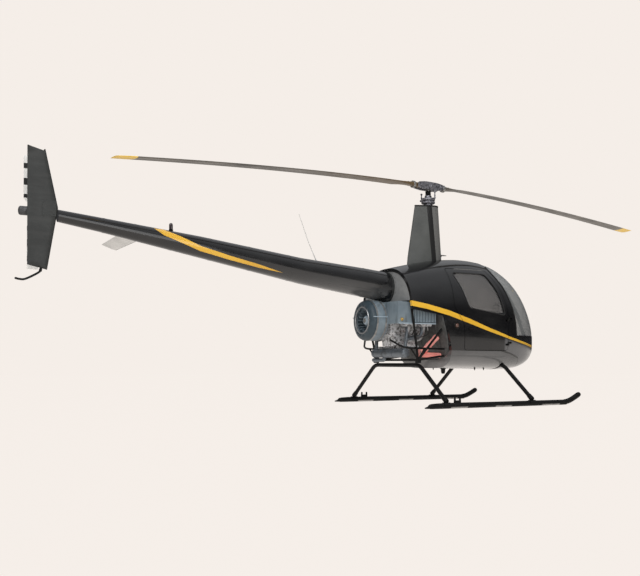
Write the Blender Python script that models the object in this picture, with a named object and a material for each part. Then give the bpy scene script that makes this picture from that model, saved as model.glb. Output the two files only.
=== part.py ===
"""Light two-seat helicopter on skids, its two-blade rotor parked fore and aft over a slim tail boom.

Metres, +Z up, +X forward, +Y to the aircraft's left. Every size below is measured from the rotor mast's
axis and from the ground. The datum empty then carries the whole aircraft so that the world origin lies on
the ground under the middle of its bounding box.
"""

import math

import bpy
from mathutils import Matrix, Vector

MAST_X = 0.3757  # mast axis ahead of the middle of the overall length
GAP = 0.0003  # between pieces that rest on each other
RUNNING = 0.006  # between a door and its frame

WALL = 0.035  # whole cabin wall, skin to trim
FLOOR = 0.095
SPLIT_X = -0.075  # cabin roof meets the aft cowl
GLASS = 0.005
GLASS_SET_IN = 0.006
PANE_EDGE = 0.001

ROTOR_RADIUS = 3.835
ROTOR_AZIMUTH = 8.0
ROTOR_CHORD = 0.18
TEETER_Z = 2.54
TEETER_PIN = 0.012
CONING_HINGE = 0.15
CONING_PIN = 0.010
PIN_CLEARANCE = 0.0004
BLADE_DROOP = 0.188
MAST_RADIUS = 0.026
MAST_FOOT = 2.20
FAIRING_TOP = 2.31
SWASH_RADIUS, SWASH_TOP = 0.080, 2.400
LINK_Y = 0.115  # pitch links beside the mast
HUB_HALF = 0.20

TAIL_ROTOR = (-4.39, 0.20, 1.90)
TAIL_SHAFT_END = 0.125
TAIL_RADIUS = 0.533
TAIL_CHORD = 0.10

SKID_TRACK = 1.93
SKID_RADIUS = 0.03
SKID_SIDES = 16
SKID_Z = SKID_RADIUS * math.cos(math.pi / SKID_SIDES)  # so that the tube's lowest facet lies on the ground
CROSS_RADIUS = 0.0225
CROSS_Z = 0.455
CROSS_HALF = 0.469
CROSS_X = {"front": 0.729, "aft": -0.443}
CLAMP_HALF_LENGTH, CLAMP_HALF_WIDTH, CLAMP_TOP = 0.035, 0.028, 0.105
# Sections of a skid: x, z of the centre, radius, degrees that the section leans back. The second and third
# are upright, so that the facet between them lies flat on the ground
SKID = (
    (-0.715, 0.012, 0.006, 0), (-0.55, SKID_Z, SKID_RADIUS, 0), (1.20, SKID_Z, SKID_RADIUS, 0),
    (1.27, 0.040, SKID_RADIUS, 15), (1.34, 0.066, SKID_RADIUS, 24), (1.42, 0.108, SKID_RADIUS, 30),
    (1.45, 0.127, 0.016, 32),
)
# Bracket for a ground-handling wheel: x from and to, z from and to, half thickness
WHEEL_BRACKET = (-0.34, -0.26, 0.05, 0.085, 0.012)

FRAME_RADIUS = 0.0127
CRANK_Z = 0.955
# Cylinders: x of the axis, side
CYLINDERS = ((-0.52, 1), (-0.49, -1), (-0.32, 1), (-0.29, -1))
CYLINDER_RADIUS = 0.075
CYLINDER_END = 0.40
RAIL_Y, RAIL_RADIUS = 0.43, 0.011  # the engine frame's lower rails
DRUM_X, DRUM_SIDES = -0.90, 28  # rear face of the fan's drum
DUCT_HALF = 0.44
FAN_X, FAN_INLET, FAN_VANES = -0.865, 0.140, 12
MUFFLER_X, MUFFLER_Z = -0.53, 0.59
TAIL_PIPE_Z = 0.512
RISER_Y = 0.30
PEDAL_X, PEDAL_Z = 1.04, 0.56
CUSHION = 0.08
SEAT_IN, SEAT_OUT, BACK_OUT, BACK_TOP = 0.03, 0.47, 0.42, 1.36
GRIP_X, GRIP_Y, GRIP_Z = 0.52, 0.30, 1.02  # where the cyclic's bar ends

# Body sections: x, half width, bottom z, z of the greatest width, top z
BODY = (
    (-0.58, 0.535, 0.420, 1.00, 1.547),
    (-0.30, 0.555, 0.420, 1.00, 1.610),
    (0.00, 0.560, 0.418, 1.00, 1.665),
    (0.30, 0.560, 0.412, 0.99, 1.692),
    (0.55, 0.556, 0.405, 0.97, 1.680),
    (0.75, 0.538, 0.400, 0.94, 1.640),
    (0.95, 0.490, 0.402, 0.90, 1.540),
    (1.12, 0.420, 0.425, 0.86, 1.398),
    (1.26, 0.335, 0.475, 0.81, 1.220),
    (1.36, 0.250, 0.540, 0.77, 1.045),
    (1.43, 0.165, 0.605, 0.74, 0.880),
    (1.47, 0.085, 0.660, 0.73, 0.790),
    (1.482, 0.030, 0.695, 0.72, 0.745),
)
BODY_POINTS = 36
BELLY_POWER = 4.5
ROOF_POWER = 2.4
BEYOND = 0.8  # half width of a cutter that passes right through the body
SIDES = ((1, "left"), (-1, "right"))
COWL_FOOT = 1.045

# Side outlines as x, z
BAY_CUT = ((-0.75, 0.30), (-0.035, 0.30), (-0.06, 0.62), (-0.165, 1.00), (-0.60, 1.07), (-0.75, 1.09))
DOOR = (
    (-0.040, 1.545), (-0.030, 1.110), (0.105, 0.920), (0.115, 0.625), (0.745, 0.625),
    (0.760, 1.000), (0.725, 1.150), (0.655, 1.330), (0.520, 1.545),
)
DOOR_WINDOW = (
    (0.020, 1.500), (0.175, 1.100), (0.705, 1.025), (0.668, 1.160), (0.603, 1.320), (0.485, 1.500),
)
WINDSHIELD = (
    (0.590, 1.700), (0.600, 1.540), (0.735, 1.330), (0.830, 1.130), (0.885, 0.960), (0.905, 0.800),
    (1.60, 0.800), (1.60, 1.70),
)
ROOF_SPLIT = ((-1.0, 1.08), (0.05, 1.08), (0.70, 0.78), (1.60, 0.78), (1.60, 1.90), (-1.0, 1.90))
WINDSHIELD_POST = 0.05
FIREWALL_AFT = ((-0.060, 0.530), (-0.078, 0.640), (-0.180, 1.010), (-0.180, 1.600))
FIREWALL = 0.016
BULKHEAD_AFT = -0.575
BULKHEAD = 0.010

# Door hinges: the axis, and the height at which each hinge's two knuckles meet
HINGE_X, HINGE_Y = 0.752, 0.545
TUB_HINGE_Z, ROOF_HINGE_Z = 0.70, 0.98
KNUCKLE_RADIUS = 0.006
KNUCKLE_HEIGHT = 0.022
LEAF_LENGTH, LEAF_HALF = 0.040, 0.003
LEAF_FOOT_Y = 0.522  # how far in a leaf's foot reaches

# Tail boom sections: x, z of the centre, radius
TAILCONE = (
    (BULKHEAD_AFT - GAP, 1.3335, 0.170),
    (-0.86, 1.3725, 0.1625),
    (-1.67, 1.4685, 0.140),
    (-2.80, 1.6525, 0.1085),
    (-3.80, 1.803, 0.069),
    (-4.19, 1.857, 0.0575),
)

# Fin outline as x, z
FIN = ((-4.466, 1.379), (-4.295, 1.346), (-4.198, 1.919), (-4.311, 2.452), (-4.466, 2.475))
FIN_RIGHT, FIN_LEFT = -0.068, -0.032
TAIL_SKID = ((-4.33, 1.37), (-4.344, 1.335), (-4.484, 1.25), (-4.565, 1.255))  # route of its tube, x and z

# Stabiliser corners inside the boom and at its tip: y, leading x and z, trailing x and z
STABILISER = ((0.050, -3.336, 1.727, -3.535, 1.781), (0.700, -3.455, 1.660, -3.605, 1.705))
STABILISER_THICKNESS = 0.022

# Mast fairing sections: z, x of the trailing edge, x of the front, half thickness
FAIRING = ((1.55, -0.300, 0.178, 0.105), (1.70, -0.285, 0.167, 0.100), (FAIRING_TOP, -0.184, 0.120, 0.085))

# Round a tail rotor blade: fraction of the chord, fraction of the half thickness
TAIL_BLADE_SECTION = (
    (0.0, 0.0), (0.08, 0.8), (0.3, 1.0), (0.7, 0.6), (1.0, 0.1),
    (1.0, -0.1), (0.7, -0.6), (0.3, -1.0), (0.08, -0.8),
)


def material(name, colour, roughness, metallic=0.0):
    finish = bpy.data.materials.new(name)
    finish.use_nodes = True
    shader = finish.node_tree.nodes["Principled BSDF"]
    shader.inputs["Base Color"].default_value = (*colour, 1.0)
    shader.inputs["Roughness"].default_value = roughness
    shader.inputs["Metallic"].default_value = metallic
    return finish


def clear_scene():
    for thing in list(bpy.data.objects):
        bpy.data.objects.remove(thing, do_unlink=True)


def empty(name, parent=None, place=(0, 0, 0), turn=(0, 0, 0)):
    """A frame that carries pieces. Its place and turn are in its parent's frame."""
    frame = bpy.data.objects.new(name, None)
    frame.empty_display_size = 0.1
    frame.location = place
    frame.rotation_euler = turn
    frame.parent = parent
    bpy.context.collection.objects.link(frame)
    return frame


def solid(points, faces):
    """A loose mesh object in the aircraft's own measures, not yet a piece."""
    mesh = bpy.data.meshes.new("shape")
    mesh.from_pydata([tuple(point) for point in points], [], faces)
    shape = bpy.data.objects.new("shape", mesh)
    bpy.context.collection.objects.link(shape)
    return shape


def piece(name, shape, finish, carrier, origin=(0, 0, 0)):
    """Names a shape as a piece of the aircraft, held by its carrier with its own origin on the carrier's."""
    shape.name = name
    shape.data.name = name
    shape.data.transform(Matrix.Translation(-Vector(origin)))
    shape.data.materials.clear()
    shape.data.materials.append(finish)
    shape.data.shade_smooth()
    shape.data.set_sharp_from_angle(angle=math.radians(32))
    shape.parent = carrier
    return shape


def combine(target, tool, operation):
    """Applies one Boolean and removes its tool."""
    modifier = target.modifiers.new("cut", "BOOLEAN")
    modifier.operation = operation
    modifier.solver = "EXACT"
    modifier.object = tool
    graph = bpy.context.evaluated_depsgraph_get()
    result = bpy.data.meshes.new_from_object(target.evaluated_get(graph))
    target.modifiers.clear()
    target.data = result
    bpy.data.objects.remove(tool, do_unlink=True)
    return target


def cut(target, *tools):
    for tool in tools:
        combine(target, tool, "DIFFERENCE")
    return target


def join(first, *others):
    for other in others:
        combine(first, other, "UNION")
    return first


def within(target, tool):
    return combine(target, tool, "INTERSECT")


def copy_of(shape):
    twin = shape.copy()
    twin.data = shape.data.copy()
    bpy.context.collection.objects.link(twin)
    return twin


def loft(rings):
    """Closed solid through rings of equal point counts, with a flat cap on the first and on the last."""
    count = len(rings[0])
    points = [point for ring in rings for point in ring]
    faces = [tuple(range(count))[::-1], tuple(range(len(points) - count, len(points)))]
    for start in range(0, len(points) - count, count):
        for i in range(count):
            j = (i + 1) % count
            faces.append((start + i, start + j, start + count + j, start + count + i))
    return facing_out(solid(points, faces))


def facing_out(shape):
    mesh = shape.data
    volume = 0.0
    mesh.calc_loop_triangles()
    for triangle in mesh.loop_triangles:
        a, b, c = (mesh.vertices[i].co for i in triangle.vertices)
        volume += a.dot(b.cross(c))
    if volume < 0:
        mesh.flip_normals()
    return shape


def box(low, high):
    x0, y0, z0 = low
    x1, y1, z1 = high
    ring = [(x0, y0), (x1, y0), (x1, y1), (x0, y1)]
    return loft([[(x, y, z) for x, y in ring] for z in (z0, z1)])


def prism(outline, y0, y1):
    """Side outline of x, z points drawn out from y0 to y1."""
    return loft([[(x, y, z) for x, z in outline] for y in (y0, y1)])


def circle(centre, radius, along, sides, start=0.0):
    """Ring of points about centre, square to the direction along."""
    along = Vector(along).normalized()
    helper = Vector((0, 0, 1)) if abs(along.z) < 0.9 else Vector((1, 0, 0))
    across = helper.cross(along).normalized()
    up = along.cross(across)
    ring = []
    for i in range(sides):
        angle = start + 2 * math.pi * i / sides
        ring.append(Vector(centre) + radius * (math.cos(angle) * across + math.sin(angle) * up))
    return ring


def rod(start, end, radius, sides=16, end_radius=None):
    along = Vector(end) - Vector(start)
    last = radius if end_radius is None else end_radius
    return loft([circle(start, radius, along, sides), circle(end, last, along, sides)])


def turned(profile, axis_point, along, sides=24):
    """Solid of revolution: profile of distance along the axis and radius."""
    along = Vector(along).normalized()
    rings = [circle(Vector(axis_point) + along * d, r, along, sides) for d, r in profile]
    return loft(rings)


def bent_tube(points, radius, sides=12, bend=0.0, steps=4):
    """Round tube along a route whose corners are rounded with arcs cut back by bend."""
    route = rounded(points, bend, steps) if bend else [Vector(p) for p in points]
    rings = []
    for i, here in enumerate(route):
        before = route[max(i - 1, 0)]
        after = route[min(i + 1, len(route) - 1)]
        ahead = (after - here).normalized() if i + 1 < len(route) else (here - before).normalized()
        behind = (here - before).normalized() if i else ahead
        rings.append((here, (ahead + behind).normalized()))
    side = Vector((0, 1, 0)) if abs(rings[0][1].y) < 0.9 else Vector((1, 0, 0))
    angles = [2 * math.pi * (k + 0.5) / sides for k in range(sides)]
    built = []
    for here, along in rings:
        up = along.cross(side).normalized()
        side = up.cross(along).normalized()
        built.append([here + radius * (math.cos(a) * side + math.sin(a) * up) for a in angles])
    return loft(built)


def rounded(points, bend, steps):
    points = [Vector(p) for p in points]
    route = [points[0]]
    for before, corner, after in zip(points, points[1:], points[2:]):
        start = corner + (before - corner).normalized() * bend
        end = corner + (after - corner).normalized() * bend
        for i in range(steps + 1):
            t = i / steps
            route.append((1 - t) ** 2 * start + 2 * t * (1 - t) * corner + t**2 * end)
    route.append(points[-1])
    return route


def grown(outline, margin):
    """Outline moved outwards by margin with mitred corners. A negative margin shrinks it."""
    area = sum(a[0] * b[1] - b[0] * a[1] for a, b in zip(outline, outline[1:] + outline[:1]))
    turn = 1 if area > 0 else -1
    result = []
    count = len(outline)
    for i in range(count):
        before, here, after = (Vector(outline[(i + k) % count]) for k in (-1, 0, 1))
        first = (here - before).normalized()
        second = (after - here).normalized()
        normal_a = turn * Vector((first.y, -first.x))
        normal_b = turn * Vector((second.y, -second.x))
        middle = (normal_a + normal_b).normalized()
        result.append(tuple(here + middle * margin / middle.dot(normal_a)))
    return tuple(result)


def smooth_rows(table, steps):
    """Catmull-Rom rows between the rows of a table, steps to each interval."""
    rows = []
    last = len(table) - 1
    for i in range(last):
        before, here, after, beyond = (table[min(max(i + k, 0), last)] for k in (-1, 0, 1, 2))
        for k in range(steps):
            t = k / steps
            rows.append(tuple(catmull(a, b, c, d, t) for a, b, c, d in zip(before, here, after, beyond)))
    rows.append(table[-1])
    return rows


def catmull(a, b, c, d, t):
    return 0.5 * (2 * b + (c - a) * t + (2 * a - 5 * b + 4 * c - d) * t**2 + (3 * b - a - 3 * c + d) * t**3)


def power_point(angle, power):
    """Point of a superellipse of unit size at this angle."""
    c, s = math.cos(angle), math.sin(angle)
    return (
        math.copysign(abs(c) ** (2 / power), c),
        math.copysign(abs(s) ** (2 / power), s),
    )


def body_ring(x, half_width, bottom, middle, top, inset, floor):
    ring = []
    for i in range(BODY_POINTS):
        angle = 2 * math.pi * (i + 0.5) / BODY_POINTS
        upper = math.sin(angle) > 0
        across, up = power_point(angle, ROOF_POWER if upper else BELLY_POWER)
        reach = top - inset - middle if upper else middle - bottom - floor
        ring.append((x, across * (half_width - inset), middle + up * reach))
    return ring


def body(inset=0.0, floor=None, aft=0.0, nose=0.0):
    """The whole body, its skin set in by inset, drawn out behind by aft and cut short in front by nose."""
    floor = inset if floor is None else floor
    rows = smooth_rows(BODY, 2)
    rings = []
    for x, half_width, bottom, middle, top in rows:
        if x > BODY[-1][0] - nose:
            break
        if half_width - inset < 0.02 or top - inset - middle < 0.02 or middle - bottom - floor < 0.02:
            break
        rings.append(body_ring(x, half_width, bottom, middle, top, inset, floor))
    if aft:
        rings.insert(0, [(x - aft, y, z) for x, y, z in rings[0]])
    return loft(rings)


def side_prism(outline, side, inner=0.02):
    """Prism through one side of the body: side is 1 for the left and -1 for the right."""
    return prism(outline, *sorted((side * inner, side * BEYOND)))


def build_cabin(frames, finishes):
    hull = frames["airframe"]
    shell = cut(body(), body(WALL, FLOOR, aft=0.1, nose=0.03), prism(BAY_CUT, -BEYOND, BEYOND))
    thin = cut(body(GLASS_SET_IN), body(GLASS_SET_IN + GLASS, aft=0.1))
    half_post = WINDSHIELD_POST / 2
    for side, word in SIDES:
        door = within(copy_of(shell), side_prism(DOOR, side, 0.15))
        cut(door, side_prism(DOOR_WINDOW, side))
        for z in (TUB_HINGE_Z, ROOF_HINGE_Z):
            join(door, knuckle(side, z - KNUCKLE_HEIGHT, z - GAP, -1))
        pane = within(copy_of(thin), side_prism(grown(DOOR_WINDOW, -PANE_EDGE), side))
        hinge = frames["door_" + word]
        piece("door_" + word, door, finishes["paint"], hinge, hinge["place"])
        piece("door_glass_" + word, pane, finishes["glass"], hinge, hinge["place"])
        cut(shell, side_prism(grown(DOOR, RUNNING), side, 0.15))
        screen = side_prism(grown(WINDSHIELD, -PANE_EDGE), side, half_post + PANE_EDGE)
        piece("windshield_" + word, within(copy_of(thin), screen), finishes["glass"], hull)
        cut(shell, side_prism(WINDSHIELD, side, half_post))
    bpy.data.objects.remove(thin, do_unlink=True)

    aft_part = (SPLIT_X - GAP, BEYOND, 1.9)
    cowl = within(copy_of(shell), box((-1.0, -BEYOND, 0.2), aft_part))
    cut(cowl, prism(((-0.30, 0.2), (0.2, 0.2), (0.2, COWL_FOOT), (-0.45, COWL_FOOT)), -BEYOND, BEYOND))
    roof = within(copy_of(shell), prism(ROOF_SPLIT, -BEYOND, BEYOND))
    cut(roof, box((-1.0, -BEYOND, 0.2), (SPLIT_X, BEYOND, 1.9)))
    tub = cut(shell, prism(grown(ROOF_SPLIT, GAP), -BEYOND, BEYOND))
    cut(tub, box((-1.0, -BEYOND, COWL_FOOT - GAP), (SPLIT_X, BEYOND, 1.9)), tunnel(CROSS_X["front"]))
    for side, _ in SIDES:
        join(tub, knuckle(side, TUB_HINGE_Z, TUB_HINGE_Z + KNUCKLE_HEIGHT, 1))
        join(roof, knuckle(side, ROOF_HINGE_Z, ROOF_HINGE_Z + KNUCKLE_HEIGHT, 1))
    piece("cabin_tub", tub, finishes["paint"], hull)
    piece("cabin_roof", roof, finishes["paint"], hull)
    piece("aft_cowl", cowl, finishes["paint"], hull)


def knuckle(side, low, high, ahead):
    """Half a door hinge: knuckle, leaf, and foot on the skin. ahead is 1 on the body, -1 on the door."""
    y = side * HINGE_Y
    shape = rod((HINGE_X, y, low), (HINGE_X, y, high), KNUCKLE_RADIUS, 12)
    near, far = sorted((HINGE_X, HINGE_X + ahead * LEAF_LENGTH))
    join(shape, box((near, y - LEAF_HALF, low), (far, y + LEAF_HALF, high)))
    near, far = sorted((HINGE_X + ahead * LEAF_LENGTH / 2, HINGE_X + ahead * LEAF_LENGTH))
    inside, outside = sorted((side * LEAF_FOOT_Y, y + side * LEAF_HALF))
    return join(shape, box((near, inside, low), (far, outside, high)))


def tunnel(x):
    """Slot across the belly that the front cross tube lies in."""
    width = CROSS_RADIUS + GAP
    return box((x - width, -BEYOND, 0.3), (x + width, BEYOND, CROSS_Z + CROSS_RADIUS + GAP))


def build_firewall(frames, finishes):
    front = tuple((x + FIREWALL, z) for x, z in reversed(FIREWALL_AFT))
    room = body(WALL + 3 * GAP, FLOOR + GAP, aft=0.1)
    wall = within(room, prism(FIREWALL_AFT + front, -BEYOND, BEYOND))
    piece("firewall", wall, finishes["metal"], frames["airframe"])
    slab = box((BULKHEAD_AFT, -BEYOND, 1.165), (BULKHEAD_AFT + BULKHEAD, BEYOND, 1.9))
    plate = within(body(WALL + 3 * GAP, aft=0.1), slab)
    piece("aft_bulkhead", plate, finishes["metal"], frames["airframe"])


def ahead_of_firewall():
    """Everything from the firewall's aft face forward, less the gap that a piece resting on it keeps."""
    outline = tuple((x - GAP, z) for x, z in FIREWALL_AFT) + ((BEYOND, 1.60), (BEYOND, 0.53))
    return prism(outline, -BEYOND, BEYOND)


def behind_firewall_front():
    """Everything aft of the firewall's front face, with the same gap."""
    front = tuple((x + FIREWALL + GAP, z) for x, z in FIREWALL_AFT)
    return prism(front + ((-0.9, 1.60), (-0.9, 0.40), (front[0][0], 0.40)), -BEYOND, BEYOND)


def cabin_room():
    """The space inside the cabin that a piece standing on the floor may fill."""
    return body(WALL + 0.004, FLOOR + GAP, aft=0.1)


def seat_top(x):
    """Height of the seat base's sloping top."""
    return 0.74 + (x + 0.09) * 0.0816


def build_seats(frames, finishes):
    hull = frames["airframe"]
    base = ((-0.04, 0.45), (0.36, 0.45), (0.40, seat_top(0.40)), (-0.09, seat_top(-0.09)))
    base = cut(within(cabin_room(), prism(base, -0.48, 0.48)), behind_firewall_front())
    piece("seat_base", base, finishes["metal"], hull)
    for side, word in SIDES:
        near, far = sorted((side * SEAT_IN, side * SEAT_OUT))
        under = [(x, seat_top(x) + GAP) for x in (-0.055, 0.40)]
        over = [(x, z + CUSHION) for x, z in under[::-1]]
        back_foot = [(x, seat_top(x) + CUSHION + 2 * GAP) for x in (-0.055, 0.04)]
        back = tuple(back_foot) + ((-0.02, BACK_TOP), (-0.11, BACK_TOP))
        piece("seat_cushion_" + word, prism(under + over, near, far), finishes["fabric"], hull)
        near, far = sorted((side * SEAT_IN, side * BACK_OUT))
        piece("seat_back_" + word, prism(back, near, far), finishes["fabric"], hull)


def build_controls(frames, finishes):
    hull = frames["airframe"]
    pedestal = prism(((0.62, 0.45), (1.02, 0.45), (1.06, 0.80), (0.74, 0.80)), -0.10, 0.10)
    panel = prism(((0.80, 0.78), (1.04, 0.78), (1.06, 1.08), (0.92, 1.08)), -0.17, 0.17)
    piece("instrument_console", within(join(pedestal, panel), cabin_room()), finishes["trim"], hull)
    stick = bent_tube(((0.46, 0.0, 0.45), (GRIP_X, 0.0, GRIP_Z)), 0.014)
    join(stick, rod((GRIP_X, -GRIP_Y, GRIP_Z), (GRIP_X, GRIP_Y, GRIP_Z), 0.011))
    for side, _ in SIDES:
        grip = ((GRIP_X, side * GRIP_Y, GRIP_Z + 0.005), (GRIP_X - 0.01, side * (GRIP_Y + 0.01), 0.90))
        join(stick, bent_tube(grip, 0.016))
    piece("cyclic_stick", within(stick, cabin_room()), finishes["trim"], hull)
    for side, word in SIDES:
        pair = rod((PEDAL_X, side * 0.12, PEDAL_Z), (PEDAL_X, side * 0.34, PEDAL_Z), 0.010)
        # Two pads and the post between them: y, half thickness, half width, z from and to
        plates = (
            (0.16, 0.006, 0.032, 0.55, 0.68),
            (0.30, 0.006, 0.032, 0.55, 0.68),
            (0.23, 0.020, 0.015, 0.45, 0.565),
        )
        for y, thick, half, z0, z1 in plates:
            low = (PEDAL_X - thick, side * y - half, z0)
            join(pair, box(low, (PEDAL_X + thick, side * y + half, z1)))
        piece("pedals_" + word, within(pair, cabin_room()), finishes["trim"], hull)


def build_gear(frames, finishes):
    hull = frames["airframe"]
    half = SKID_TRACK / 2
    top = 2 * SKID_RADIUS
    # Half a cross tube, from its foot to its knee: distance out, height
    leg = ((half - 0.004, top + 0.02), (CROSS_HALF, CROSS_Z))
    for word, x in CROSS_X.items():
        route = [(x, y, z) for y, z in leg] + [(x, -y, z) for y, z in leg[::-1]]
        tube = bent_tube(route, CROSS_RADIUS, sides=14, bend=0.05, steps=4)
        for side, _ in SIDES:
            y = side * half
            low = (x - CLAMP_HALF_LENGTH, y - CLAMP_HALF_WIDTH, top - 0.004)
            join(tube, box(low, (x + CLAMP_HALF_LENGTH, y + CLAMP_HALF_WIDTH, CLAMP_TOP)))
            seat = ((x - 0.2, y, SKID_Z), (x + 0.2, y, SKID_Z))
            cut(tube, bent_tube(seat, SKID_RADIUS + GAP, SKID_SIDES))
        piece("cross_tube_" + word, tube, finishes["black"], hull)
    x0, x1, z0, z1, thick = WHEEL_BRACKET
    for side, word in SIDES:
        y = side * half
        rings = []
        for x, z, radius, lean in SKID:
            along = (math.cos(math.radians(lean)), 0, math.sin(math.radians(lean)))
            rings.append(circle((x, y, z), radius, along, SKID_SIDES, math.pi / SKID_SIDES))
        skid = join(loft(rings), box((x0, y - thick, z0), (x1, y + thick, z1)))
        piece("skid_" + word, skid, finishes["black"], hull)


def build_tail(frames, finishes):
    hull = frames["airframe"]
    piece("tailcone", boom_solid(), finishes["paint"], hull)
    axis_x, _, axis_z = TAIL_ROTOR
    end_x, end_z, end_radius = TAILCONE[-1]
    gearbox = box((-4.47, FIN_LEFT + GAP, 1.835), (end_x - GAP, 0.080, 1.925))
    join(gearbox, rod((-4.40, 0.03, 1.885), (-4.53, 0.03, 1.885), 0.042))
    join(gearbox, rod((axis_x, 0.07, axis_z), (axis_x, TAIL_SHAFT_END, axis_z), 0.032))
    piece("tail_gearbox", gearbox, finishes["metal"], hull)
    fin = prism(FIN, FIN_RIGHT, FIN_LEFT)
    cut(fin, rod((end_x - 0.02, 0, end_z), (end_x + 0.03, 0, end_z), end_radius + GAP, 24))
    piece("tail_fin", fin, finishes["dull"], hull)
    middle = (FIN_RIGHT + FIN_LEFT) / 2
    skid = bent_tube([(x, middle, z) for x, z in TAIL_SKID], 0.010, sides=10)
    cut(skid, prism(grown(FIN, GAP), FIN_RIGHT - GAP, FIN_LEFT + GAP))
    piece("tail_skid", skid, finishes["black"], hull)
    rings = []
    for y, lead_x, lead_z, trail_x, trail_z in STABILISER:
        lead, trail = Vector((lead_x, y, lead_z)), Vector((trail_x, y, trail_z))
        rings.append(slab_ring(lead, trail, STABILISER_THICKNESS))
    piece("stabiliser", cut(loft(rings), boom_solid(GAP)), finishes["pale"], hull)
    strobe = cut(rod((-3.10, 0, 1.75), (-3.10, 0, 1.893), 0.021), boom_solid(GAP))
    piece("strobe_lamp", strobe, finishes["lens"], hull)
    whip = cut(rod((-1.472, 0, 1.54), (-1.683, 0, 2.08), 0.005, 8), boom_solid(GAP))
    piece("whip_antenna", whip, finishes["pale"], hull)


def boom_solid(margin=0.0):
    return loft([circle((x, 0, z), r + margin, (1, 0, 0), 24) for x, z, r in TAILCONE])


def slab_ring(lead, trail, thickness):
    """Eight points round a wing section between its leading and trailing edges."""
    along = trail - lead
    normal = Vector((-along.z, 0, along.x)).normalized()
    # Fraction of the chord and of the half thickness
    shape = ((0.0, 0.0), (0.06, 0.75), (0.30, 1.0), (0.70, 0.6), (1.0, 0.08))
    over = [lead + along * f + normal * h * thickness / 2 for f, h in shape]
    under = [lead + along * f - normal * h * thickness / 2 for f, h in reversed(shape[1:])]
    return over + under


def build_fairing(frames, finishes):
    rings = []
    for z, aft, front, half in FAIRING:
        rings.append([(x, y, z) for x, y in foil_outline(aft, front, half)])
    bore = rod((0, 0, MAST_FOOT - GAP), (0, 0, 2.4), MAST_RADIUS + 0.010, 20)
    fairing = cut(loft(rings), body(-GAP, aft=0.1), bore)
    piece("mast_fairing", fairing, finishes["dull"], frames["airframe"])
    lower_top = SWASH_TOP - 0.035
    lower = rod((0, 0, FAIRING_TOP + GAP), (0, 0, lower_top), 0.052, 20)
    join(lower, rod((0, 0, lower_top - 0.03), (0, 0, lower_top), SWASH_RADIUS, 20))
    cut(lower, rod((0, 0, 2.2), (0, 0, 2.5), MAST_RADIUS + 0.008, 20))
    piece("swashplate_lower", lower, finishes["metal"], frames["airframe"])


def foil_outline(aft, front, half):
    """Blunt-nosed streamlined outline from the trailing edge along one side and back along the other."""
    chord = front - aft
    # Fraction of the chord from the front and of the half thickness
    shape = ((0.0, 0.0), (0.03, 0.45), (0.10, 0.78), (0.25, 1.0), (0.5, 0.88), (0.75, 0.5), (1.0, 0.06))
    one = [(front - f * chord, h * half) for f, h in shape]
    other = [(x, -y) for x, y in reversed(one[1:])]
    return one + other


def build_engine(frames, finishes):
    hull = frames["airframe"]
    # Crankcase, sump, and the arm that reaches both rails: x from and to, half width, z from and to
    blocks = (
        (-0.62, -0.22, 0.15, 0.80, 1.05),
        (-0.56, -0.24, 0.13, 0.66, 0.81),
        (-0.465, -0.425, RAIL_Y - RAIL_RADIUS - GAP, 0.632, 0.672),
    )
    block, *others = [box((x0, -half, z0), (x1, half, z1)) for x0, x1, half, z0, z1 in blocks]
    join(block, *others, *(cylinder(x, side) for x, side in CYLINDERS))
    piece("engine", block, finishes["metal"], hull)
    piece("fan_shroud", fan_shroud(), finishes["shroud"], hull)
    crank = frames["crank"]
    piece("fan_wheel", fan_wheel(), finishes["shroud"], crank, crank["place"])
    pipe = bent_tube(((MUFFLER_X, 0.34, MUFFLER_Z), (MUFFLER_X, -0.34, MUFFLER_Z)), 0.050, 16)
    outlet = ((MUFFLER_X, 0.12, MUFFLER_Z), (MUFFLER_X, 0.12, TAIL_PIPE_Z), (MUFFLER_X, 0.36, TAIL_PIPE_Z))
    join(pipe, bent_tube(outlet, 0.022, 12, 0.03))
    for x, side in CYLINDERS[:2]:
        join(pipe, rod((MUFFLER_X, side * RISER_Y, MUFFLER_Z), (x, side * RISER_Y, CRANK_Z), 0.021, 12))
    for x, side in CYLINDERS[2:]:
        y = side * RISER_Y
        join(pipe, bent_tube(((x, y, CRANK_Z), (x - 0.02, y, 0.78), (MUFFLER_X, y, 0.74)), 0.019, 12, 0.03))
    for x, side in CYLINDERS:
        cut(pipe, cylinder(x, side, GAP))
    piece("muffler", pipe, finishes["metal"], hull)
    duct = bent_tube(((-0.06, -0.36, 0.86), (-0.31, -0.33, 0.60), (-0.36, -0.33, 0.60)), 0.034, 14, 0.03)
    join(duct, bent_tube(((-0.36, -0.33, 0.575), (0.0, -0.33, 0.57)), 0.030, 14))
    piece("intake_duct", cut(duct, ahead_of_firewall()), finishes["duct"], hull)


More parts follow.
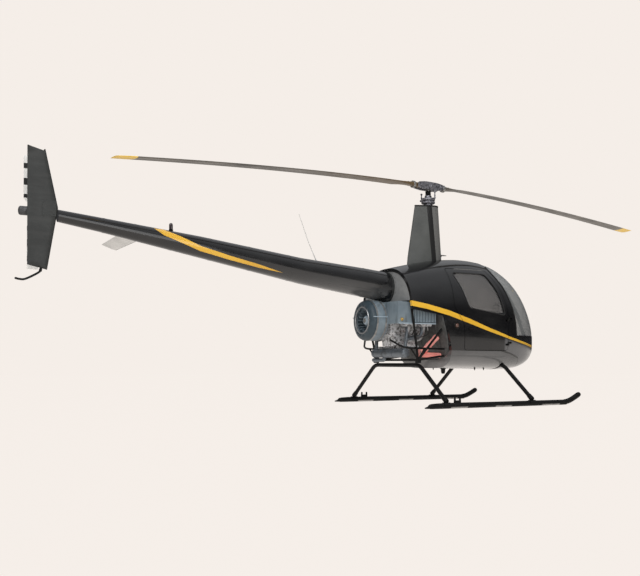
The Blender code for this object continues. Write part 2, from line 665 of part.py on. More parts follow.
def fan_shroud():
    """Drum round the fan and the duct over the cylinders, open below, with a boss to each cylinder's end."""
    # Profiles outside and inside the drum: distance forward of its rear face, radius
    outside = ((0.0, 0.180), (0.02, 0.215), (0.06, 0.226), (0.205, 0.226))
    inside = ((0.0, 0.165), (0.03, 0.205), (0.06, 0.214), (0.27, 0.214))
    duct = ((-0.70, 0.91), (-0.20, 0.91), (-0.20, 1.110), (-0.24, 1.135), (-0.70, 1.155))
    shroud = turned(outside, (DRUM_X, 0, CRANK_Z), (1, 0, 0), DRUM_SIDES)
    join(shroud, prism(duct, -DUCT_HALF, DUCT_HALF))
    cut(
        shroud,
        turned(inside, (DRUM_X + 0.012, 0, CRANK_Z), (1, 0, 0), DRUM_SIDES),
        rod((DRUM_X - 0.1, 0, CRANK_Z), (DRUM_X + 0.1, 0, CRANK_Z), FAN_INLET, DRUM_SIDES),
        box((-0.69, 0.01 - DUCT_HALF, 0.85), (-0.21, DUCT_HALF - 0.01, 1.100)),
    )
    for x, side in CYLINDERS:
        near, far = side * (CYLINDER_END + GAP), side * (DUCT_HALF - 0.005)
        join(shroud, rod((x, near, CRANK_Z), (x, far, CRANK_Z), 0.015, 10))
    return shroud


def fan_wheel():
    # Profile: distance forward of the shaft's rear end, radius
    profile = (
        (0.0, 0.040), (0.02, 0.055), (0.13, 0.055), (0.13, 0.195), (0.142, 0.195), (0.142, 0.035),
        (0.2447, 0.035),
    )
    wheel = turned(profile, (FAN_X, 0, CRANK_Z), (1, 0, 0), DRUM_SIDES)
    for i in range(FAN_VANES):
        angle = 2 * math.pi * i / FAN_VANES
        vane = box((FAN_X + 0.013, 0.12, -0.004), (FAN_X + 0.135, 0.19, 0.004))
        vane.data.transform(Matrix.Translation((0, 0, CRANK_Z)) @ Matrix.Rotation(angle, 4, "X"))
        join(wheel, vane)
    return wheel


def cylinder(x, side, margin=0.0):
    root = (x, side * 0.12, CRANK_Z)
    return rod(root, (x, side * (CYLINDER_END + margin), CRANK_Z), CYLINDER_RADIUS + margin, 14)


def build_frame(frames, finishes):
    """Welded tubes behind the cabin that carry the engine and stand on the aft cross tube."""
    foot_y, foot_z = 0.44, CROSS_Z + CROSS_RADIUS + 0.035
    x = CROSS_X["aft"]
    # Tubes that leave each foot: x, y and z of the far end, radius
    struts = (
        (-0.555, 0.475, 1.12, FRAME_RADIUS),
        (-0.10, 0.455, 0.880, FRAME_RADIUS),
        (-0.030, 0.42, 0.57, FRAME_RADIUS),
        (-0.535, 0.435, 0.640, 0.009),
        (-0.352, 0.435, 0.640, 0.009),
    )
    tubes = [rod((x, -foot_y, foot_z), (x, foot_y, foot_z), FRAME_RADIUS, 10)]
    for side, _ in SIDES:
        foot = (x, side * foot_y, foot_z)
        for end_x, end_y, end_z, radius in struts:
            tubes.append(rod(foot, (end_x, side * end_y, end_z), radius, 10))
        rail = ((-0.70, 0.27, 0.735), (-0.62, RAIL_Y, 0.645), (-0.04, RAIL_Y, 0.635))
        tubes.append(bent_tube([(end_x, side * end_y, z) for end_x, end_y, z in rail], RAIL_RADIUS, 10, 0.08))
        shoe = (x - 0.02, side * foot_y - 0.03, CROSS_Z + CROSS_RADIUS + GAP)
        tubes.append(box(shoe, (x + 0.02, side * foot_y + 0.03, foot_z + 0.012)))
    truss = cut(join(*tubes), ahead_of_firewall())
    piece("engine_frame", truss, finishes["black"], frames["airframe"])


def build_rotor(frames, finishes):
    spin, head = frames["rotor_mast"], frames["rotor_head"]
    mast = rod((0, 0, MAST_FOOT), (0, 0, TEETER_Z + 0.055), MAST_RADIUS, 20)
    cut(mast, rod((0, -0.1, TEETER_Z), (0, 0.1, TEETER_Z), TEETER_PIN + PIN_CLEARANCE, 16))
    piece("mast", mast, finishes["metal"], spin)
    upper = rod((0, 0, SWASH_TOP - 0.027), (0, 0, SWASH_TOP), SWASH_RADIUS + 0.002, 20)
    join(upper, rod((0, 0, SWASH_TOP - 0.01), (0, 0, SWASH_TOP + 0.03), 0.040, 20))
    for side, _ in SIDES:
        low, high = sorted((side * 0.06, side * (LINK_Y + 0.015)))
        join(upper, box((-0.012, low, SWASH_TOP - 0.024), (0.012, high, SWASH_TOP - 0.004)))
        join(upper, rod((0, side * LINK_Y, SWASH_TOP - 0.015), (0, side * LINK_Y, 2.470), 0.008, 10))
    cut(upper, rod((0, 0, 2.3), (0, 0, 2.5), MAST_RADIUS + GAP, 20))
    piece("swashplate_upper", upper, finishes["metal"], spin)

    cheeks = []
    for side, _ in SIDES:
        low, high = sorted((side * 0.040, side * 0.056))
        web = side * 0.075
        pin_x = side * CONING_HINGE
        cheeks.append(box((-HUB_HALF, low, TEETER_Z - 0.045), (HUB_HALF, high, TEETER_Z + 0.045)))
        cheeks.append(box((web - 0.015, -0.045, TEETER_Z - 0.030), (web + 0.015, 0.045, TEETER_Z + 0.030)))
        cheeks.append(rod((pin_x, -0.065, TEETER_Z), (pin_x, 0.065, TEETER_Z), CONING_PIN, 12))
    bar = join(cheeks[0], *cheeks[1:])
    join(bar, rod((0, -0.075, TEETER_Z), (0, 0.075, TEETER_Z), TEETER_PIN, 16))
    piece("rotor_hub", bar, finishes["metal"], head, (0, 0, TEETER_Z))

    for number in (1, 2):
        carrier = frames["rotor_blade_%d" % number]
        piece("rotor_blade_%d" % number, rotor_blade(), finishes["blade"], carrier, (CONING_HINGE, 0, 0))


def rotor_blade():
    """One blade along +X, its leading edge to +Y, measured from the mast axis and the hub's centre."""
    # Stations: radius, chord, thickness, offset of the section's middle, roundness from block to foil
    stations = [
        (0.118, 0.070, 0.050, 0.0, 0.0), (0.24, 0.070, 0.050, 0.0, 0.0), (0.34, 0.120, 0.036, -0.01, 0.6),
    ]
    for radius in (0.46, 1.20, 2.00, 2.80, ROTOR_RADIUS - 0.10):
        stations.append((radius, ROTOR_CHORD, 0.022, -0.035, 1.0))
    stations.append((ROTOR_RADIUS, ROTOR_CHORD * 0.96, 0.016, -0.035, 1.0))
    rings = []
    for radius, chord, thickness, middle, foil in stations:
        reach = max(0.0, (radius - CONING_HINGE) / (ROTOR_RADIUS - CONING_HINGE))
        drop = BLADE_DROOP * reach**1.7
        twist = math.radians(5.0 - 7.0 * reach) * foil
        ring = []
        for i in range(12):
            angle = 2 * math.pi * (i + 0.5) / 12
            y, z = power_point(angle, 6.0 - 3.2 * foil)
            y *= chord / 2
            z *= thickness / 2 * (1 + 0.45 * foil * y / chord * 2 if foil else 1)
            turned_y = y * math.cos(twist) - z * math.sin(twist)
            turned_z = y * math.sin(twist) + z * math.cos(twist)
            ring.append((radius, middle + turned_y, turned_z - drop))
        rings.append(ring)
    eye = rod((CONING_HINGE, -0.1, 0), (CONING_HINGE, 0.1, 0), CONING_PIN + PIN_CLEARANCE, 12)
    return cut(loft(rings), eye)


def build_tail_rotor(frames, finishes):
    spin = frames["tail_rotor"]
    x, y, z = TAIL_ROTOR
    hub = rod((x, TAIL_SHAFT_END + GAP, z), (x, y + 0.03, z), 0.014, 14)
    join(hub, rod((x, y - 0.022, z), (x, y + 0.022, z), 0.040, 16))
    join(hub, rod((x, y, z - 0.10), (x, y, z + 0.10), 0.016, 12))
    # Stations: radius, chord, thickness
    stations = ((0.07, 0.035, 0.018), (0.13, TAIL_CHORD, 0.014), (TAIL_RADIUS, TAIL_CHORD, 0.012))
    # The upper blade's leading edge is forward and the lower one's aft, as they turn together
    for way in (1, -1):
        rings = []
        for radius, chord, thickness in stations:
            ring = []
            for along, across in TAIL_BLADE_SECTION:
                ring.append((x + way * chord * (0.35 - along), y + across * thickness / 2, z + way * radius))
            rings.append(ring)
        join(hub, loft(rings))
    piece("tail_rotor", hub, finishes["blade"], spin, spin["place"])


def build_lamps(frames, finishes):
    hull = frames["airframe"]
    for side, word in SIDES:
        lamp = rod((-0.009, side * 0.545, 0.896), (-0.009, side * 0.590, 0.896), 0.040, 20, 0.022)
        piece("position_lamp_" + word, cut(lamp, body(-GAP)), finishes["lens"], hull)
    piece("pitot_tube", rod((0.1645, 0, 1.745), (0.26, 0, 1.745), 0.007, 10), finishes["metal"], hull)


def build_frames():
    """The empties on the joints' axes, keyed by what they carry. place is the joint from the mast's foot."""
    datum = empty("datum", place=(MAST_X, 0, 0))
    frames = {"airframe": datum}
    hinge_z = (TUB_HINGE_Z + ROOF_HINGE_Z) / 2
    places = {
        "door_left": (HINGE_X, HINGE_Y, hinge_z),
        "door_right": (HINGE_X, -HINGE_Y, hinge_z),
        "crank": (-0.80, 0, CRANK_Z),
        "tail_rotor": TAIL_ROTOR,
    }
    for name, place in places.items():
        frames[name] = empty(name + "_axis", datum, place)
        frames[name]["place"] = place
    frames["rotor_mast"] = empty("rotor_mast_axis", datum, (0, 0, 0), (0, 0, math.radians(ROTOR_AZIMUTH)))
    frames["rotor_head"] = empty("rotor_head_axis", frames["rotor_mast"], (0, 0, TEETER_Z))
    for number, turn in ((1, 0.0), (2, math.pi)):
        arm = (CONING_HINGE * math.cos(turn), CONING_HINGE * math.sin(turn), 0)
        hinge = empty("coning_axis_%d" % number, frames["rotor_head"], arm, (0, 0, turn))
        frames["rotor_blade_%d" % number] = hinge
    return frames


def build_finishes():
    return {
        "paint": material("black_paint", (0.012, 0.012, 0.013), 0.15),
        "dull": material("dull_black", (0.06, 0.062, 0.06), 0.5),
        "black": material("gear_black", (0.01, 0.01, 0.01), 0.45),
        "metal": material("bare_metal", (0.5, 0.5, 0.5), 0.4, 0.9),
        "shroud": material("shroud_grey", (0.17, 0.22, 0.26), 0.5),
        "duct": material("duct_red", (0.75, 0.25, 0.2), 0.6),
        "glass": material("clear_glass", (0.6, 0.62, 0.62), 0.05),
        "fabric": material("seat_fabric", (0.03, 0.03, 0.035), 0.9),
        "trim": material("cabin_trim", (0.03, 0.03, 0.03), 0.6),
        "blade": material("blade_grey", (0.12, 0.11, 0.09), 0.4),
        "pale": material("pale_paint", (0.5, 0.5, 0.5), 0.5),
        "lens": material("lamp_lens", (0.7, 0.5, 0.45), 0.1),
    }


def main():
    clear_scene()
    frames = build_frames()
    finishes = build_finishes()
    build_cabin(frames, finishes)
    build_firewall(frames, finishes)
    build_seats(frames, finishes)
    build_controls(frames, finishes)
    build_gear(frames, finishes)
    build_tail(frames, finishes)
    build_fairing(frames, finishes)
    build_engine(frames, finishes)
    build_frame(frames, finishes)
    build_rotor(frames, finishes)
    build_tail_rotor(frames, finishes)
    build_lamps(frames, finishes)


main()
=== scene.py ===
import math

import bpy
import numpy as np
from mathutils import Matrix, Vector


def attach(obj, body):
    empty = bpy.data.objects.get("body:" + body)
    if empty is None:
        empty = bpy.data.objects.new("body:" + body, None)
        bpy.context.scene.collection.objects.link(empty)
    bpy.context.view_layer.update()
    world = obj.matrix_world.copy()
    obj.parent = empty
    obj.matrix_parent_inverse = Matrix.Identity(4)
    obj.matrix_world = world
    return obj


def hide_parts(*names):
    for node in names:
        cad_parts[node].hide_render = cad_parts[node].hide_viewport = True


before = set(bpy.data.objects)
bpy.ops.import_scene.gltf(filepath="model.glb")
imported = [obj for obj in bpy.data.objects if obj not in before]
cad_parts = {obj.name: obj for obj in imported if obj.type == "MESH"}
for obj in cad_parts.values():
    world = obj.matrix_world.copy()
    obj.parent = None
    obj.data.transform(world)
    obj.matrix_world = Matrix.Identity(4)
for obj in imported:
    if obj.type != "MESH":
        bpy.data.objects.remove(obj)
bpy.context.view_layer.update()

FORWARD, LEFT, UP = (1, 0, 0), (0, 1, 0), (0, 0, 1)
AFT, RIGHT, DOWN = (-1, 0, 0), (0, -1, 0), (0, 0, -1)

# Light two-seat helicopter. Every place below is measured from the rotor mast's axis and from the ground,
# x forward, y to the aircraft's left. MAST moves it to the frame's origin.
MAST = Vector((0.3757, 0.0, 0.0))
SIDES = ((1, "left"), (-1, "right"))

# GAP lies between pieces that rest on each other, RUNNING round a door
GAP = 0.0003
RUNNING = 0.006
# Depth of the cabin's walls and of its floor
WALL, FLOOR = 0.035, 0.095
# How far a pane lies under the skin, its thickness, and how much smaller than its opening it is
GLASS_SET_IN, GLASS, PANE_EDGE = 0.006, 0.005, 0.001
# Where the cowl meets the tub, and the height of its lower edge there
SPLIT_X, COWL_FOOT = -0.075, 1.045
# Further out than any of the body
BEYOND = 0.8
# The door hinges' pins, and the height of the crankshaft
HINGE_X, HINGE_Y = 0.752, 0.545
CRANK_Z = 0.955
# Cross tubes: x of the front and aft one, height and half width of their level middle, radius
CROSS_X = (0.729, -0.443)
CROSS_Z, CROSS_HALF, CROSS_RADIUS = 0.455, 0.469, 0.0225
# Skid tubes: distance out and radius
SKID_Y, SKID_RADIUS = 0.965, 0.03
# The rotor stands a little round from straight ahead, and its tips hang by BLADE_DROOP
ROTOR_TURN = math.radians(8)
ROTOR_RADIUS, CONING_HINGE, TEETER_Z, BLADE_DROOP = 3.835, 0.15, 2.54, 0.188
TAIL_AXIS = Vector((-4.39, 0.20, 1.90))

# Body sections: x, half width, bottom z, z of the greatest width, top z
BODY = (
    (-0.58, 0.535, 0.420, 1.00, 1.547),
    (-0.30, 0.555, 0.420, 1.00, 1.610),
    (0.00, 0.560, 0.418, 1.00, 1.665),
    (0.30, 0.560, 0.412, 0.99, 1.692),
    (0.55, 0.556, 0.405, 0.97, 1.680),
    (0.75, 0.538, 0.400, 0.94, 1.640),
    (0.95, 0.490, 0.402, 0.90, 1.540),
    (1.12, 0.420, 0.425, 0.86, 1.398),
    (1.26, 0.335, 0.475, 0.81, 1.220),
    (1.36, 0.250, 0.540, 0.77, 1.045),
    (1.43, 0.165, 0.605, 0.74, 0.880),
    (1.47, 0.085, 0.660, 0.73, 0.790),
    (1.482, 0.030, 0.695, 0.72, 0.745),
)
# Each section is a rounded box, with squarer corners below its greatest width than above
BELLY_POWER, ROOF_POWER = 4.5, 2.4
BODY_ROUND, BODY_STEPS = 112, 7

BAY_CUT = ((-0.75, 0.30), (-0.035, 0.30), (-0.06, 0.62), (-0.165, 1.00), (-0.60, 1.07), (-0.75, 1.09))
DOOR = (
    (-0.040, 1.545), (-0.030, 1.110), (0.105, 0.920), (0.115, 0.625), (0.745, 0.625),
    (0.760, 1.000), (0.725, 1.150), (0.655, 1.330), (0.520, 1.545),
)
DOOR_WINDOW = ((0.020, 1.500), (0.175, 1.100), (0.705, 1.025), (0.668, 1.160), (0.603, 1.320), (0.485, 1.500))
WINDSHIELD = (
    (0.590, 1.700), (0.600, 1.540), (0.735, 1.330), (0.830, 1.130), (0.885, 0.960), (0.905, 0.800),
    (1.60, 0.800), (1.60, 1.70),
)
ROOF_SPLIT = ((-1.0, 1.08), (0.05, 1.08), (0.70, 0.78), (1.60, 0.78), (1.60, 1.90), (-1.0, 1.90))
HALF_POST = 0.025

# Tail boom sections: x, z of the centre, radius
BOOM = (
    (-0.5756, 1.3335, 0.170), (-0.86, 1.3725, 0.1625), (-1.67, 1.4685, 0.140),
    (-2.80, 1.6525, 0.1085), (-3.80, 1.803, 0.069), (-4.19, 1.857, 0.0575),
)
BOOM_SEAMS = (-0.90, -1.36, -1.82, -2.27, -2.70, -3.11, -3.46, -3.765)

# The gold stripe's edges along the cabin, and the sweep's on the boom, as x, z
STRIPE_TOP = (
    (-0.60, 1.162), (-0.40, 1.128), (-0.10, 1.061), (0.18, 0.975), (0.47, 0.875), (0.78, 0.783),
    (0.98, 0.740), (1.22, 0.702), (1.50, 0.673),
)
STRIPE_FOOT = (
    (-0.60, 1.104), (-0.40, 1.071), (-0.10, 1.003), (0.18, 0.921), (0.47, 0.834), (0.78, 0.753),
    (0.98, 0.714), (1.22, 0.674), (1.50, 0.645),
)
# Past its ends the sweep's top lies below its foot, so it runs out
SWEEP_TOP = (
    (-3.42, 1.800), (-3.20, 1.800), (-3.04, 1.740), (-2.83, 1.652), (-2.51, 1.570), (-2.18, 1.496),
    (-1.82, 1.400),
)
SWEEP_FOOT = (
    (-3.42, 1.900), (-3.20, 1.735), (-3.04, 1.678), (-2.83, 1.602), (-2.51, 1.531), (-2.18, 1.466),
    (-1.82, 1.412),
)

# Upper edge of the painted reflection of the floor on the belly, as x, z, and where the paler painted
# reflection on the chin begins
BELLY_REFLECTION_EDGE = ((-0.10, 0.625), (0.64, 0.618), (0.80, 0.585), (0.96, 0.535), (1.00, 0.43))
CHIN_REFLECTION_FROM = 0.70

GOLD = (0.80, 0.47, 0.045)
BLACK = (0.006, 0.006, 0.0065)


class Level:
    """One number that varies over a surface. Arithmetic on it adds Math nodes to its finish."""

    def __init__(self, finish, socket):
        self.finish = finish
        self.socket = socket

    def math(self, operation, *values):
        settings = {"operation": operation}
        return self.finish.node("ShaderNodeMath", settings, dict(enumerate(values)))

    def __add__(self, other):
        return self.math("ADD", self, other)

    def __radd__(self, other):
        return self.math("ADD", other, self)

    def __sub__(self, other):
        return self.math("SUBTRACT", self, other)

    def __rsub__(self, other):
        return self.math("SUBTRACT", other, self)

    def __mul__(self, other):
        return self.math("MULTIPLY", self, other)

    def __rmul__(self, other):
        return self.math("MULTIPLY", other, self)

    def __abs__(self):
        return self.math("ABSOLUTE", self)

    def above(self, edge, soft=0.001):
        """1 where this is above edge, 0 below, soft wide between."""
        return self.between(edge - soft / 2, edge + soft / 2)

    def between(self, low, high, start=0.0, end=1.0):
        sockets = {"Value": self, "From Min": low, "From Max": high, "To Min": start, "To Max": end}
        return self.finish.node("ShaderNodeMapRange", {"clamp": True}, sockets)


class Wiring:
    """Nodes and links of one shader tree."""

    def __init__(self, tree):
        self.tree = tree

    def put(self, socket, value):
        if isinstance(value, Level):
            self.tree.links.new(value.socket, socket)
        elif isinstance(value, tuple) and len(value) == 3 and socket.type == "RGBA":
            socket.default_value = (*value, 1.0)
        else:
            socket.default_value = value

    def node(self, kind, settings=None, sockets=None, out=0):
        made = self.tree.nodes.new(kind)
        for key, value in (settings or {}).items():
            setattr(made, key, value)
        for key, value in (sockets or {}).items():
            self.put(made.inputs[key], value)
        return Level(self, made.outputs[out])

    def blend(self, first, second, share):
        settings = {"data_type": "RGBA", "clamp_factor": True}
        return self.node("ShaderNodeMix", settings, {0: share, 6: first, 7: second}, out=2)


class Finish(Wiring):
    """A material on one Principled shader, with the record's slot that it stands for."""

    def __init__(self, name, slot, **constants):
        self.material = bpy.data.materials.new(name)
        self.material.use_nodes = True
        super().__init__(self.material.node_tree)
        self.shader = self.tree.nodes["Principled BSDF"]
        self.slot = slot
        for key, value in constants.items():
            self.put(self.shader.inputs[key.replace("_", " ")], value)

    def place(self):
        return self.node("ShaderNodeTexCoord", out="Object")

    def axes(self):
        """x, y and z from the mast's axis."""
        split = self.tree.nodes.new("ShaderNodeSeparateXYZ")
        self.put(split.inputs[0], self.place())
        x, y, z = (Level(self, socket) for socket in split.outputs)
        return x - MAST.x, y, z

    def stretched(self, sx, sy, sz):
        """The place with each axis scaled, for grain or streaks that run one way."""
        sockets = {0: self.place(), 1: (sx, sy, sz)}
        return self.node("ShaderNodeVectorMath", {"operation": "MULTIPLY"}, sockets)

    def noise(self, scale, detail=3.0, where=None, rough=0.5):
        sockets = {"Vector": where or self.place(), "Scale": scale, "Detail": detail, "Roughness": rough}
        return self.node("ShaderNodeTexNoise", None, sockets)

    def cells(self, scale):
        sockets = {"Vector": self.place(), "Scale": scale}
        return self.node("ShaderNodeTexVoronoi", {"feature": "F1"}, sockets)

    def facing(self, power=0.5):
        return self.node("ShaderNodeLayerWeight", None, {"Blend": power}, out=1)

    def coat(self, colour=None, roughness=None, alpha=None, metallic=None):
        for key, value in (
            ("Base Color", colour), ("Roughness", roughness), ("Alpha", alpha), ("Metallic", metallic),
        ):
            if value is not None:
                self.put(self.shader.inputs[key], value)

    def bump(self, height, distance, strength=1.0):
        sockets = {"Height": height, "Distance": distance, "Strength": strength}
        self.put(self.shader.inputs["Normal"], self.node("ShaderNodeBump", None, sockets))


def along_points(x, points):
    """Height of a line through points at x, flat beyond its ends."""
    height = points[0][1]
    for (x0, z0), (x1, z1) in zip(points, points[1:]):
        height = height + x.between(x0, x1, 0.0, z1 - z0)
    return height


def gloss_paint(name, top, foot, belly=False):
    """Gloss black with one gold band between two lines, with a painted reflection of the floor greying the
    belly and chin, or the boom's lower side towards its root.
    """
    paint = Finish(name, "paint", Coat_Weight=0.3, Coat_Roughness=0.04, Specular_IOR_Level=0.45)
    x, _, z = paint.axes()
    band = (along_points(x, top) - z).above(0.0) * (z - along_points(x, foot)).above(0.0)
    dust = paint.noise(2.2, 6.0, paint.stretched(1.0, 1.0, 2.6)).between(0.42, 0.78)
    specks = paint.noise(160.0, 2.0).between(0.66, 0.74)
    black = paint.blend(BLACK, (0.030, 0.030, 0.030), dust * 0.35 + specks * 0.25)
    if belly:
        # Painted reflection of the floor: the lower sides turn lighter grey below the edge line, more so
        # further down, and the chin turns a paler grey
        edge = along_points(x, BELLY_REFLECTION_EDGE)
        under = (edge - z).above(0.006, 0.006) * (edge - z).between(0.0, 0.17, 0.45, 1.0)
        chin_reflection = x.above(CHIN_REFLECTION_FROM, 0.03) * (along_points(x, foot) - z).above(0.012, 0.02)
        black = paint.blend(black, (0.20, 0.20, 0.20), under * (1.0 - dust * 0.4))
        black = paint.blend(black, (0.105, 0.105, 0.108), chin_reflection * (z - edge).above(0.012, 0.01))
    else:
        # Painted reflection of the floor: the boom's lower side turns grey, more so towards its root
        middle = along_points(x, [(row[0], row[1]) for row in BOOM[::-1]])
        low = (middle - z).between(-0.03, 0.15) * x.between(-2.3, -0.9, 0.15, 1.0)
        black = paint.blend(black, (0.115, 0.115, 0.115), low * (1.0 - dust * 0.5))
        patches = paint.noise(9.0, 3.0).between(0.44, 0.50) * x.above(-0.76, 0.16)
        black = paint.blend(black, BLACK, patches)
    gold = paint.blend(GOLD, (0.62, 0.31, 0.02), dust * 0.5 + specks * 0.3)
    paint.coat(paint.blend(black, gold, band), 0.13 + dust * 0.14 + specks * 0.15)
    paint.bump(paint.noise(85.0, 1.0), 0.0004, 0.05)
    return paint


def fairing_paint():
    """Charcoal mast fairing with a black strip down each side and a paler nose, whose paler grey is a painted
    reflection on its curved front.
    """
    paint = Finish("fairing_charcoal", "dull", Specular_IOR_Level=0.35)
    x, _, z = paint.axes()
    place = x + (z - 1.9) * 0.077
    strip = place.above(-0.034, 0.004) * (1.0 - place.above(0.026, 0.004))
    mottle = paint.noise(6.0, 7.0).between(0.35, 0.75)
    specks = paint.noise(75.0, 6.0).between(0.66, 0.70)
    grey = paint.blend((0.080, 0.084, 0.080), (0.048, 0.051, 0.049), mottle * 0.6)
    # Painted reflection: the curved nose ahead of the strips is a lighter grey
    grey = paint.blend(grey, (0.13, 0.13, 0.125), place.above(0.026, 0.004))
    grey = paint.blend(grey, (0.12, 0.12, 0.115), specks * 0.3)
    paint.coat(paint.blend(grey, (0.008, 0.008, 0.008), strip), 0.42 + mottle * 0.12)
    paint.bump(paint.noise(120.0, 3.0), 0.0006, 0.15)
    return paint


def plain_paint(name, slot, colour, worn_colour, roughness, wear=0.5, shine=0.45):
    """Old satin paint: mottled, streaked along the airflow, with chips that show what is under it."""
    paint = Finish(name, slot, Specular_IOR_Level=shine)
    mottle = paint.noise(5.0, 7.0).between(0.35, 0.75)
    streak = paint.noise(26.0, 4.0, paint.stretched(0.12, 1.0, 1.0)).between(0.45, 0.8)
    chips = paint.noise(70.0, 6.0).between(0.67, 0.70) * wear
    darker = tuple(0.62 * c for c in colour)
    base = paint.blend(paint.blend(colour, darker, mottle * 0.6), worn_colour, streak * 0.25)
    paint.coat(paint.blend(base, worn_colour, chips), roughness + mottle * 0.12 + chips * 0.1)
    paint.bump(paint.noise(120.0, 3.0) + chips * 0.6, 0.0006, 0.18)
    return paint


def bare_metal(name, slot, colour, roughness, grime, brushed=(1.0, 1.0, 1.0), shine=0.85, painted_shade=0.0):
    """Metal with fine grain, oily dirt in patches, dulled spots and, on rough castings, painted shade: dark
    patches that stand in for the shadow among small parts.
    """
    metal = Finish(name, slot)
    dirt = metal.noise(11.0, 8.0).between(0.5, 0.72)
    spots = metal.cells(55.0).between(0.25, 0.6)
    grain = metal.noise(190.0, 3.0, metal.stretched(*brushed))
    colour_mix = metal.blend(
        metal.blend(colour, tuple(0.7 * c for c in colour), spots * 0.5), grime, dirt * 0.75,
    )
    # Painted shade: dark noise patches standing in for shadow among the parts
    if painted_shade:
        shade_patches = metal.noise(42.0, 4.0).between(0.40, 0.50, painted_shade, 0.0)
        colour_mix = metal.blend(colour_mix, grime, shade_patches)
    metal.coat(colour_mix, roughness + dirt * 0.3 + grain * 0.08, None, shine * (1.0 - dirt * 0.65))
    metal.bump(grain + dirt * 0.5, 0.0008, 0.25)
    return metal


def clear_pane(name, tint, body):
    """Tinted acrylic that turns mirror-like towards its edges, with haze and faint scratches."""
    pane = Finish(name, "glass", IOR=1.49, Coat_Weight=0.3, Coat_Roughness=0.02)
    edge = pane.facing(0.35)
    haze = pane.noise(3.5, 5.0).between(0.4, 0.8)
    scratches = pane.noise(300.0, 2.0, pane.stretched(0.05, 1.0, 1.0)).between(0.62, 0.72)
    colour = pane.blend(tint, tuple(1.5 * c + 0.02 for c in tint), haze * 0.5 + scratches * 0.5)
    pane.coat(colour, 0.03 + scratches * 0.08 + haze * 0.03, body + edge * 0.45 + haze * 0.06)
    return pane


def woven(name, colour, thread):
    """Seat cloth: a plain weave with heathered threads."""
    cloth = Finish(name, "fabric", Sheen_Weight=0.35, Sheen_Roughness=0.5, Specular_IOR_Level=0.2)
    weave = []
    for axis in ("X", "Y", "Z"):
        settings = {"wave_type": "BANDS", "bands_direction": axis, "wave_profile": "SIN"}
        weave.append(
            cloth.node("ShaderNodeTexWave", settings, {"Vector": cloth.place(), "Scale": 150.0}, out=1)
        )
    mesh = weave[0] + weave[1] * 0.7 + weave[2] * 0.8
    heather = cloth.noise(420.0, 2.0).between(0.4, 0.65)
    faded = cloth.noise(9.0, 5.0).between(0.45, 0.8)
    dark = tuple(0.55 * c for c in colour)
    cloth.coat(
        cloth.blend(cloth.blend(colour, thread, heather * 0.5), dark, faded * 0.4), 0.82 + heather * 0.1,
    )
    cloth.bump(mesh * 0.35 + heather * 0.3, 0.0008, 0.5)
    return cloth


def moulded(name, slot, colour, roughness=0.5, grain=240.0):
    """Moulded plastic or rubber with a fine pebble and handling marks."""
    plastic = Finish(name, slot, Specular_IOR_Level=0.4)
    marks = plastic.noise(14.0, 6.0).between(0.5, 0.75)
    pale = tuple(min(1.0, 1.7 * c + 0.01) for c in colour)
    plastic.coat(plastic.blend(colour, pale, marks * 0.4), roughness + marks * 0.15)
    plastic.bump(plastic.cells(grain), 0.0006, 0.25)
    return plastic


def laminate(name):
    """Blue-grey glass-fibre sheet, faded, with its cloth just showing and oily streaks."""
    sheet = Finish(name, "shroud", Specular_IOR_Level=0.4)
    weft = sheet.node(
        "ShaderNodeTexWave", {"bands_direction": "Z"}, {"Vector": sheet.place(), "Scale": 95.0}, out=1,
    )
    warp = sheet.node(
        "ShaderNodeTexWave", {"bands_direction": "X"}, {"Vector": sheet.place(), "Scale": 95.0}, out=1,
    )
    faded = sheet.noise(6.0, 6.0).between(0.4, 0.75)
    streaks = sheet.noise(20.0, 5.0, sheet.stretched(1.0, 1.0, 0.2)).between(0.52, 0.75)
    base = sheet.blend((0.145, 0.185, 0.215), (0.27, 0.32, 0.345), faded * 0.8)
    sheet.coat(sheet.blend(base, (0.035, 0.038, 0.04), streaks * 0.6), 0.45 + faded * 0.2)
    sheet.bump(weft * 0.5 + warp * 0.5 + faded * 0.3, 0.0005, 0.25)
    return sheet


def blade_paint(name, slot, tip_from, tip_colour):
    """Rotor blade: grey paint, brown towards the root on the aft blade only, with a bright tip."""
    paint = Finish(name, slot, Specular_IOR_Level=0.5)
    x, y, _ = paint.axes()
    run = abs(x * math.cos(ROTOR_TURN) + y * math.sin(ROTOR_TURN))
    tip = run.above(tip_from, 0.002)
    grime = paint.noise(7.0, 7.0, paint.stretched(0.5, 1.0, 1.0)).between(0.4, 0.75)
    specks = paint.noise(130.0, 4.0).between(0.62, 0.7)
    # Brown towards the root, on the aft blade only
    root = run.between(0.4, 1.9, 1.0, 0.0) * (1.0 - x.above(0.0, 0.02))
    grey = paint.blend((0.110, 0.097, 0.080), (0.052, 0.047, 0.040), grime)
    grey = paint.blend(grey, (0.13, 0.075, 0.018), root * 0.7)
    grey = paint.blend(grey, (0.02, 0.02, 0.02), specks * 0.5)
    paint.coat(paint.blend(grey, tip_colour, tip), 0.36 + grime * 0.15)
    paint.bump(specks * -1.0 + grime * 0.3, 0.0004, 0.2)
    return paint


def banded_blade(name):
    """Tail rotor blade: white with three black bands and a dark root."""
    paint = Finish(name, "blade", Specular_IOR_Level=0.5)
    _, _, z = paint.axes()
    run = abs(z - TAIL_AXIS.z)
    dark = 1.0 - run.above(0.075)
    for low, high in ((0.135, 0.170), (0.255, 0.320), (0.410, 0.460)):
        dark = dark + run.above(low) * (1.0 - run.above(high))
    specks = paint.noise(90.0, 5.0).between(0.6, 0.68)
    white = paint.blend((0.88, 0.87, 0.84), (0.5, 0.49, 0.46), specks * 0.4)
    paint.coat(paint.blend(white, (0.02, 0.02, 0.02), dark), 0.35 + specks * 0.2)
    paint.bump(specks, 0.0004, 0.15)
    return paint


